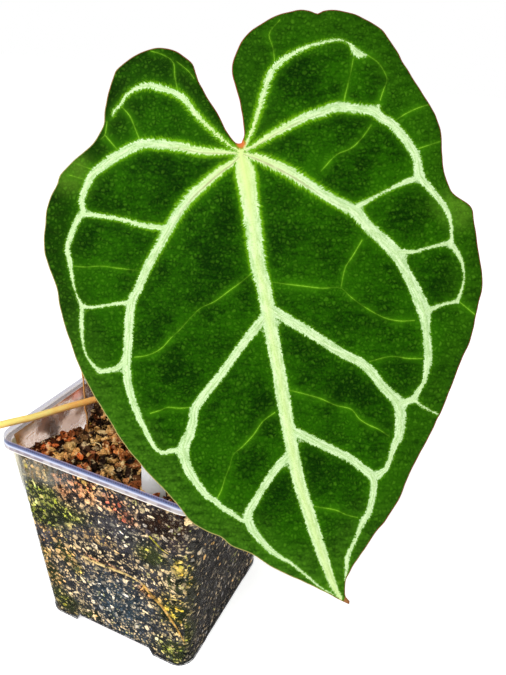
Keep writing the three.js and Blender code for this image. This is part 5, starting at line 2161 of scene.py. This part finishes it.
@dataclass
class PottingMix:
    """The mix: a lumpy body that fills the pot, with chips in its sides and a heap of chunks on top.

    A mound is its x, y, height and reach, and the brim is the height of the thin bank along the front wall.
    """

    level: float = 84.5
    slope: float = 0.12
    mounds: tuple[tuple[float, float, float, float], ...] = (
        (-43.0, 8.0, -9.0, 18.0), (0.0, 0.0, 3.0, 15.0), (-40.0, 14.5, 15.0, 8.0),
    )
    brim: float = 95.6
    seed: int = 11
    wall_gap: float = 0.05
    step: float = 1.0
    lumps: float = 0.28
    chip: tuple[float, float] = (0.8, 2.3)
    chips: int = 5200
    top_coarse: tuple[float, float] = (1.5, 3.8)
    top_fine: tuple[float, float] = (0.5, 1.0)
    stem_radius: float = 8.2

    @property
    def inset(self) -> float:
        """How far inside the pot's outer face the mix ends."""
        return POT.wall + self.wall_gap

    def height(self, x: float, y: float) -> float:
        """The height of the mix's surface.

        Args:
            x: The place's x.
            y: Its y.

        Returns:
            The height.
        """
        z = self.level - self.slope * y
        for mound_x, mound_y, rise, reach in self.mounds:
            z += rise * math.exp(-((x - mound_x) ** 2 + (y - mound_y) ** 2) / reach**2)
        to_front = (y + POT.half_at(95.0)) / 2.6
        return z + max(0.0, self.brim - z) * math.exp(-to_front * to_front)

    @staticmethod
    def bottom(x: float, y: float) -> float:
        """The height of its underside, lower in the feet."""
        return POT.floor + 0.1 + POT.underside(x, y)

    @staticmethod
    def wall_look(side: int, x: float, y: float, z: float) -> Look:
        """The look of the mix against a wall.

        Args:
            side: The wall's number: front, right, back and left.
            x: The place's x.
            y: Its y.
            z: Its height.

        Returns:
            The look.
        """
        if side == 0:
            return Look.at(FRONT_BASE, FRONT_ZONES, x, z)
        if side == 1:
            return Look.at(SIDE_BASE, RIGHT_ZONES, y, z)
        return Look.at(FRONT_BASE, SIDE_ZONES, x if side == 2 else -y, z)

    def side_point(self, share: float, run: float) -> tuple[Vector, Look]:
        """A point of the body against a wall.

        Args:
            share: How far up it lies.
            run: How far round.

        Returns:
            The point and its look.
        """
        point, out, side = POT.inside(share * self.level, self.inset, run)
        low, high = self.bottom(point.x, point.y), self.height(point.x, point.y) - 0.6
        z = low + (high - low) * share
        point, out, side = POT.inside(z, self.inset, run)
        seat = Vector((point.x, point.y, z))
        lump = noise.noise(seat * 0.42) + 0.6 * noise.noise(seat * 0.95)
        point -= out * self.lumps * max(0.0, min(1.0, 0.35 + 0.8 * lump))
        if side == 0:
            point -= out * max(0.0, min(0.8, 1.0 - root_gap(point.x, z)))
        return Vector((point.x, point.y, z)), self.wall_look(side, point.x, point.y, z)

    def flat_point(self, over: bool, share: float, run: float) -> tuple[Vector, Look]:
        """A point of the body's top or underside.

        Args:
            over: Whether it lies on top.
            share: How far it lies from the middle.
            run: How far round.

        Returns:
            The point and its look.
        """
        point = POT.inside(self.level if over else 0.0, self.inset, run)[0] * share
        z = self.bottom(point.x, point.y)
        if over:
            seat = Vector((point.x, point.y, 0.0))
            z = self.height(point.x, point.y) - 1.2 + noise.noise(seat * 0.35) + 0.6 * noise.noise(seat)
        return Vector((point.x, point.y, z)), Look.at(TOP_BASE, TOP_ZONES, point.x, point.y)

    def body(self) -> Piece:
        """Makes the body, a closed skin from the middle of its underside to the middle of its top.

        Returns:
            The finished piece.
        """
        mix = MixWork()
        count = round(8 * POT.top_half / self.step)
        runs = np.arange(count) / count
        under, levels, over = ((0.08, 0.96, 14), (0.0, 1.0, round(95.0 / self.step)), (0.985, 0.03, 40))
        rows = [[self.flat_point(False, share, run) for run in runs] for share in np.linspace(*under)]
        rows += [[self.side_point(share, run) for run in runs] for share in np.linspace(*levels)]
        rows += [[self.flat_point(True, share, run) for run in runs] for share in np.linspace(*over)]
        rings = []
        for row in rows:
            rings.append([mix.work.verts.new(point) for point, _ in row])
            for vert, (_, look) in zip(rings[-1], row):
                mix.paint([vert], look)
        stitch(mix.work, rings)
        face_out(mix.work, smooth=True)
        material = MixFinish("mix_wall", gain=1.15).material()
        return finished("mix_body", mix.work, [material], "bark_mix", "potting_mix")

    @staticmethod
    def bit_look(random: np.random.Generator, look: Look, fill: float) -> Look:
        """The look of one bit: as light as the bits round about, or as dark as the ground.

        Args:
            random: The source of chance.
            look: The look of the mix there.
            fill: How much of the bit its own specks cover.

        Returns:
            Its look.
        """
        light = random.uniform() < 0.15 + 0.85 * look.fill
        tint = np.exp(0.5 * random.normal() + np.array((0.08, 0.02, -0.1)) * random.normal())
        colour = (look.bit if light else look.ground * 1.6) * tint
        if random.uniform() < 0.16 * look.coarse:
            colour = 0.3 * colour + 0.7 * np.array(Bit.STRAW.value[:3])
        return Look(colour * min(1.0, 0.9 / colour.max()), look.ground, fill, 2.0)

    def press(self, work: Work) -> None:
        """Flattens what would reach through the wall or the floor against them.

        Args:
            work: The bits.
        """
        inset = POT.wall + 0.5 * self.wall_gap
        for vert in work.verts:
            x, y, z = vert.co
            z = max(z, self.bottom(x, y))
            half, corner = POT.half_at(z) - inset, POT.corner_at(z) - inset
            over = Vector([math.copysign(max(0.0, abs(part) - half + corner), part) for part in (x, y)])
            if over.length > corner:
                keep = over * (corner / over.length)
                x += keep.x - over.x
                y += keep.y - over.y
            vert.co = (x, y, z)

    @staticmethod
    def bit_place(random: np.random.Generator, spot: Vector, out: Vector, size: float, flat: float) -> Matrix:
        """The place of a bit, turned at random and flattened along a direction.

        Args:
            random: The source of chance.
            spot: Its middle.
            out: The direction.
            size: Its size.
            flat: How thick it is, as a share of its size.

        Returns:
            Its matrix.
        """
        tip, roll, spin = (Matrix.Rotation(random.uniform(0, 6.28), 4, axis) for axis in "XZZ")
        facing = out.to_track_quat("Z", "Y").to_matrix().to_4x4()
        long = random.uniform(0.85, 1.4)
        stretch = Matrix.Diagonal((size * long, size / long, size * flat, 1.0))
        return Matrix.Translation(spot) @ facing @ spin @ stretch @ (tip @ roll)

    def walls(self, shapes: Sequence[GrainShape]) -> list[Piece]:
        """Presses chips against the four walls.

        Args:
            shapes: The shapes of the chips.

        Returns:
            A finished piece for each wall.
        """
        random = np.random.default_rng(self.seed)
        works = [MixWork().work for _ in range(4)]
        spots = SpacedPoints(5.0)
        around = 8.0 * POT.half_at(50.0)
        low, high = self.chip
        for _ in range(self.chips):
            run = random.uniform(0.0, 1.0)
            z = random.uniform(POT.floor + 1.5, 96.0)
            size = low + (high - low) * random.uniform() ** 2
            if not spots.has_room(run * around, z, size, 0.85):
                continue
            point, out, side = POT.inside(z, self.inset, run)
            if not self.bottom(point.x, point.y) + size < z < self.height(point.x, point.y) - 0.6 * size:
                continue
            if side == 0 and root_gap(point.x, z) < 0.6 * size:
                continue
            spots.add(run * around, z, size)
            point.z = z
            look = self.wall_look(side, point.x, point.y, z)
            place = self.bit_place(random, point - out * 0.3 * size, out, size, 0.5)
            shapes[random.integers(len(shapes))].stamp(works[side], place, self.bit_look(random, look, 0.62))
        material = MixFinish("mix_chips", gain=1.1).material()
        pieces = []
        for name, work in zip(("mix_front", "mix_right", "mix_back", "mix_left"), works):
            self.press(work)
            pieces.append(finished(name, work, [material], "bark_mix", "potting_mix"))
        return pieces

    def top(self, shapes: Sequence[GrainShape], small: Sequence[GrainShape]) -> Piece:
        """Heaps bits on the surface.

        Args:
            shapes: The shapes of the larger bits.
            small: The shapes of the smaller ones.

        Returns:
            The finished piece.
        """
        random = np.random.default_rng(self.seed + 1)
        work = MixWork().work
        spots = SpacedPoints(6.5)
        reach = POT.half_at(self.level) - self.inset
        corner = POT.corner_at(self.level) - POT.wall
        passes = [(self.top_coarse, 6000, 0.62, shapes, 0.1), (self.top_fine, 12000, 0.7, small, -0.5)]
        for (low, high), tries, apart, group, lift in passes:
            for _ in range(tries):
                size = low + (high - low) * random.uniform() ** 1.6
                x, y = random.uniform(-reach + size, reach - size, 2)
                over = math.hypot(max(0.0, abs(x) - reach + corner), max(0.0, abs(y) - reach + corner))
                if over > corner - size or math.hypot(x, y) < self.stem_radius + size:
                    continue
                if not spots.has_room(x, y, size, apart):
                    continue
                spots.add(x, y, size)
                look = self.bit_look(random, Look.at(TOP_BASE, TOP_ZONES, x, y), 0.5)
                z = self.height(x, y) + (lift + random.uniform(-0.7, 0.6)) * size - 0.5
                tilt = Vector((random.normal() * 0.7, random.normal() * 0.7, 1.0)).normalized()
                place = self.bit_place(random, Vector((x, y, z)), tilt, size, 0.8)
                group[random.integers(len(group))].stamp(work, place, look)
        self.press(work)
        material = MixFinish("mix_heap", gain=0.86, shine=0.06).material()
        return finished("mix_top", work, [material], "bark_mix", "potting_mix")

    def build(self) -> list[Piece]:
        """Makes the whole mix.

        Returns:
            The finished pieces.
        """
        shapes = [GrainShape(2, seed) for seed in range(8)]
        small = [GrainShape(1, seed) for seed in range(20, 26)]
        pieces = [self.body(), *self.walls(shapes), self.top(shapes, small)]
        for shape in shapes + small:
            shape.drop()
        return pieces


# Small pieces


@dataclass
class UprightStrip:
    """A thin strip, curved across and leant forward, that narrows to its top and stands in the mix."""

    name: str
    finish: LabelFinish | DrySheathFinish
    slot: str
    node: str
    width: float
    thickness: float
    bend: float
    foot: float
    top: float
    lean: float
    taper: float
    place: tuple[float, float]
    turn: float
    ragged: float = 0.0

    def build(self) -> list[Piece]:
        """Makes the strip.

        Returns:
            The finished piece.
        """
        work = bmesh.new()
        bmesh.ops.create_grid(work, x_segments=14, y_segments=50, size=0.5)
        rim = work.verts.layers.float.new("rim")
        for vert in work.verts:
            # The rim measure marks one long edge, which the bract's finish paints lighter as a painted
            # highlight.
            vert[rim] = max(0.0, min(1.0, (-vert.co.x - 0.34) * 12.0))
            share = vert.co.y + 0.5
            angle = -math.pi / 2 + self.width / self.bend * vert.co.x
            x = self.bend * math.cos(angle) * (1.0 - self.taper * share**3)
            y = self.bend * math.sin(angle) + self.bend - self.lean * share
            z = self.foot + (self.top - self.foot) * share
            seat = Vector((x, y, z)) * 0.25
            x += self.ragged * noise.noise(seat)
            y += self.ragged * noise.noise(seat + Vector((5, 5, 5)))
            vert.co = (x, y, z)
        thicken(work, self.thickness, smooth=True)
        keep_sharp(work, 50.0)
        turn = Matrix.Rotation(math.radians(self.turn), 4, "Z")
        work.transform(Matrix.Translation((*self.place, 0.0)) @ turn)
        return [finished(self.name, work, [self.finish.material()], self.slot, self.node)]


@dataclass
class Crown:
    """The short stem, its dry bracts and the stub of the old petiole.

    A bract has its distance from the axis and its half width at shares of its length.
    """

    foot: float = 62.0
    top: float = 95.0
    radius: float = 7.2
    seat_radius: float = 4.0
    steps: int = 48
    stub_end: Knot = (-9.4, 4.6, 93.6)
    stub_lean: Knot = (-4.4, 0.0, 4.8)
    bracts: int = 5
    bract_length: float = 21.0
    bract_thickness: float = 0.35
    shares: Knot = (0.0, 0.4, 0.75, 1.0)
    spread: Knot = (6.4, 6.9, 8.0, 10.0)
    half_widths: Knot = (2.9, 3.1, 1.9, 0.15)

    def stem(self) -> Piece:
        """Makes the ringed stem and the stub on it.

        Returns:
            The finished piece.
        """
        length = self.top - self.foot
        work = bmesh.new()
        bmesh.ops.create_circle(work, cap_ends=True, segments=36, radius=self.radius)
        grown = work.faces[:]
        for _ in range(self.steps):
            grown = bmesh.ops.extrude_face_region(work, geom=grown)["geom"]
            fresh = [item for item in grown if isinstance(item, bmesh.types.BMVert)]
            bmesh.ops.translate(work, verts=fresh, vec=(0.0, 0.0, length / self.steps))
            grown = [item for item in grown if isinstance(item, bmesh.types.BMFace)]
        for vert in work.verts:
            height = self.foot + vert.co.z
            scar = 0.35 * max(0.0, math.sin(1.5 * height))
            shoulder = min(1.0, math.sqrt(max(0.0, (self.top - height) / 6.0)))
            radius = self.seat_radius + (self.radius + scar - self.seat_radius) * shoulder
            angle = math.atan2(vert.co.y, vert.co.x)
            lump = 1.0 - 0.05 * (1.0 + math.sin(3.0 * angle + 0.4 * height)) * shoulder
            lump += 0.03 * noise.noise(Vector((vert.co.x, vert.co.y, vert.co.z / length * 30.0)) * 0.6)
            vert.co = (radius * lump * math.cos(angle), radius * lump * math.sin(angle), height)
        face_out(work, smooth=True)
        away = Vector(self.stub_lean).normalized()
        end = Vector(self.stub_end) - away * 0.3
        Rod([tuple(end - away * back) for back in (4.5, 2.0, 0.0)], [2.6, 2.3, 2.1], step=0.8).add_to(work)
        finish = DrySheathFinish("stem_bark", srgb(104, 74, 44), srgb(150, 116, 70), srgb(54, 36, 22))
        return finished("crown_stem", work, [finish.material()], "stem_bark", "crown")

    def bract(self, angle: float, length: float, number: int) -> Work:
        """One curled pointed bract.

        Args:
            angle: Where it stands round the stem.
            length: Its length.
            number: Sets its crinkles.

        Returns:
            Its mesh work.
        """
        work = bmesh.new()
        bmesh.ops.create_grid(work, x_segments=8, y_segments=20, size=0.5)
        for vert in work.verts:
            share = vert.co.y + 0.5
            half = float(np.interp(share, self.shares, self.half_widths))
            side = 2 * vert.co.x
            crinkle = 0.35 * noise.noise(Vector((side * 2.0, share * 4.0, number * 7.0)))
            reach = float(np.interp(share, self.shares, self.spread)) - 0.9 * side**2 * half / 3.0 + crinkle
            vert.co = (reach, side * half, self.top - 5.0 + share * length + crinkle)
        thicken(work, self.bract_thickness, smooth=True)
        work.transform(Matrix.Rotation(angle, 4, "Z"))
        return work

    def build(self) -> list[Piece]:
        """Makes the stem and the dry bracts that stand round it.

        Returns:
            The finished pieces.
        """
        stem = self.stem()
        work = bmesh.new()
        for i in range(self.bracts):
            angle = 0.9 + 2 * math.pi * (i + 0.25 * math.sin(2.3 * i)) / self.bracts
            join(work, self.bract(angle, self.bract_length * (1.0 - 0.12 * i), i))
        materials = [DrySheathFinish("bract").material()]
        return [stem, finished("crown_bracts", work, materials, "stem_bark", "crown")]


@dataclass
class OldPetiole:
    """The trimmed, yellowed petiole that arches out of the crown and lies over the rim."""

    radius: float = 1.5
    route: tuple[Knot, ...] = (
        (-9.4, 4.6, 93.6), (-13.8, 4.6, 98.4), (-20, 0.8, 102.2), (-26.1, -6.3, 104), (-29.1, -12.2, 104.5),
        (-34.1, -20.7, 104.6), (-41.6, -32.1, 103.9), (-44.3, -35, 103.7), (-49.6, -40.9, 103),
        (-57.8, -49.1, 102.2),
    )

    def build(self) -> list[Piece]:
        """Makes the stalk.

        Returns:
            The finished piece.
        """
        work = bmesh.new()
        radii = [self.radius * share for share in (1.2, 1.0, 0.98, 1.0, 1.05)]
        Rod(self.route, radii, sides=16, step=1.1, lump=0.05).add_to(work, 3.0)
        # Its under colour is painted shade.
        finish = StalkFinish(
            "yellow_stalk", young=srgb(255, 238, 132), old=srgb(246, 172, 88), speck=srgb(255, 246, 170),
            under=srgb(226, 158, 84), change=(0.25, 0.95),
        )
        return [finished("old_petiole_stalk", work, [finish.material()], "yellow_stalk", "old_petiole")]


@dataclass
class Strand:
    """A root or fibre that lies on or in the mix."""

    route: Sequence[Knot]
    radius: float
    colour: Colour


@dataclass
class Roots:
    """Roots pressed against the front wall and fibres that lie on the mix."""

    mix: PottingMix
    seed: int = 5
    fibre_count: int = 46
    fibre_bend: float = 2.6
    fibre_limit: float = 39.0

    def against_wall(self) -> list[Strand]:
        """The roots seen through the front wall.

        Returns:
            The roots.
        """
        strands = []
        for root in WALL_ROOTS:
            inset = self.mix.inset + root.radius
            route = [(x, inset - POT.half_at(z), z) for x, z in root.spots]
            strands.append(Strand(route, root.radius, root.colour))
        return strands

    def on_top(self) -> list[Strand]:
        """The fibres that lie on the mix, most near the crown.

        Returns:
            The fibres.
        """
        random = np.random.default_rng(self.seed)
        kinds = [srgb(134, 62, 28), srgb(176, 96, 48), srgb(92, 46, 24), srgb(206, 150, 86)]
        strands = []
        for _ in range(self.fibre_count):
            angle = random.uniform(0, 2 * math.pi)
            start = random.uniform(10.0, 24.0)
            x, y = start * math.cos(angle), start * math.sin(angle)
            heading = random.uniform(0, 2 * math.pi)
            points = []
            for _ in range(6):
                x, y = (min(self.fibre_limit, max(-self.fibre_limit, part)) for part in (x, y))
                lift = 1.4 + 0.8 * random.normal()
                points.append((x, y, self.mix.height(x, y) + max(0.5, lift)))
                heading += random.normal() * 0.5
                x += self.fibre_bend * math.cos(heading)
                y += self.fibre_bend * math.sin(heading)
            strands.append(Strand(points, random.uniform(0.09, 0.2), kinds[random.integers(len(kinds))]))
        pale = ((-21.0, -22.0, 91.0), (-17.5, -21.0, 92.6), (-14.0, -21.5, 92.8), (-12.0, -24.0, 91.5))
        return [*strands, Strand(pale, 0.2, srgb(236, 206, 150))]

    def build(self) -> list[Piece]:
        """Makes all roots and fibres.

        Returns:
            The finished piece.
        """
        mix = MixWork()
        for strand in self.against_wall() + self.on_top():
            before = len(mix.work.verts)
            taper = [strand.radius, strand.radius, 0.4 * strand.radius]
            Rod(strand.route, taper, sides=6, step=1.0).add_to(mix.work)
            mix.work.verts.ensure_lookup_table()
            colour = np.array(strand.colour[:3])
            mix.paint(mix.work.verts[before:], Look(colour, colour * 0.3, 0.75, 2.0))
        material = MixFinish("root_skin", gain=1.2).material()
        return [finished("roots", mix.work, [material], "bark_mix", "potting_mix")]


@dataclass
class WallResidue:
    """A film of dried mud on the inside of the left wall, above the mix."""

    inset: float = 0.35
    thickness: float = 0.06
    top: float = 98.6
    foot: float = 74.0

    def build(self) -> list[Piece]:
        """Makes the film.

        Returns:
            The finished piece.
        """
        work = bmesh.new()
        bmesh.ops.create_grid(work, x_segments=40, y_segments=12, size=0.5)
        for vert in work.verts:
            z = self.foot + (self.top - self.foot) * (vert.co.y + 0.5)
            half = POT.half_at(z) - self.inset
            vert.co = (-half, vert.co.x * 2 * (half - POT.top_corner + 3.0), z)
        thicken(work, self.thickness)
        return [finished("wall_residue", work, [WallResidueFinish().material()], "clear_plastic")]


# Studio


@dataclass
class Studio:
    """The pale floor, the ground behind the plant and the soft light."""

    floor_size: float = 6.0
    sky: float = 0.42
    backdrop: float = 1.0
    lamp_power: float = 6.0

    def build(self) -> None:
        """Makes the floor, the world and the lamps."""
        work = bmesh.new()
        bmesh.ops.create_grid(work, x_segments=2, y_segments=2, size=self.floor_size / 2)
        floor = shown("floor", mesh_from("floor", work))
        floor.data.materials.append(FloorFinish().material())
        world = bpy.data.worlds.new("soft_light")
        board = Board(world)
        seen = board.out(board.node("ShaderNodeLightPath"), "Is Camera Ray")
        sky, backdrop = (
            board.out(board.node("ShaderNodeBackground", None, {"Color": WHITE, "Strength": strength}))
            for strength in (self.sky, self.backdrop)
        )
        choice = board.node("ShaderNodeMixShader", None, {0: seen, 1: sky, 2: backdrop})
        board.node("ShaderNodeOutputWorld", None, {"Surface": board.out(choice)})
        bpy.context.scene.world = world
        self.lamp("key", (-0.08, -0.6, 0.82), 0.5, self.lamp_power)
        self.lamp("fill", (0.7, -0.4, 0.6), 0.7, 0.1 * self.lamp_power)
        bpy.context.scene.view_settings.view_transform = "Standard"

    @staticmethod
    def lamp(name: str, place: Knot, size: float, power: float) -> None:
        """Hangs a square lamp that looks at the plant.

        Args:
            name: Its name.
            place: Its place in metres.
            size: Its side in metres.
            power: Its power in watts.
        """
        light = bpy.data.lights.new(name, "AREA")
        light.size = size
        light.energy = power
        aim = Vector((0.0, 0.0, 0.12)) - Vector(place)
        turn = aim.to_track_quat("-Z", "Y").to_matrix().to_4x4()
        shown(name, light).matrix_world = Matrix.Translation(place) @ turn


def main() -> None:
    """Builds the dressed plant and reports its pieces."""
    logging.basicConfig(level=logging.INFO, format="%(name)s %(message)s")
    Viewpoint().build()
    blade, mix = LeafBlade(), PottingMix()
    label = UprightStrip(
        "blank_label", LabelFinish(), "white_plastic", "plant_label", width=11.0, thickness=0.8, bend=9.0,
        foot=46.0, top=121.0, lean=4.0, taper=0.35, place=(19.6, -32.0), turn=20.0,
    )
    dry_bract = UprightStrip(
        "dry_bract_strip", DrySheathFinish(), "dry_sheath", "dry_bract", width=3.4, thickness=0.6, bend=4.5,
        foot=62.0, top=112.0, lean=-1.0, taper=0.6, place=(-38.6, 1.6), turn=121.0, ragged=0.5,
    )
    inside = (mix, Roots(mix), WallResidue(), Crown())
    for part in (blade, Petiole(blade), ClearPot(), *inside, OldPetiole(), label, dry_bract):
        for piece in part.build():
            log.info("%s: %d faces", piece.name, len(piece.data.polygons))
    Studio().build()


if __name__ == "__main__":
    main()
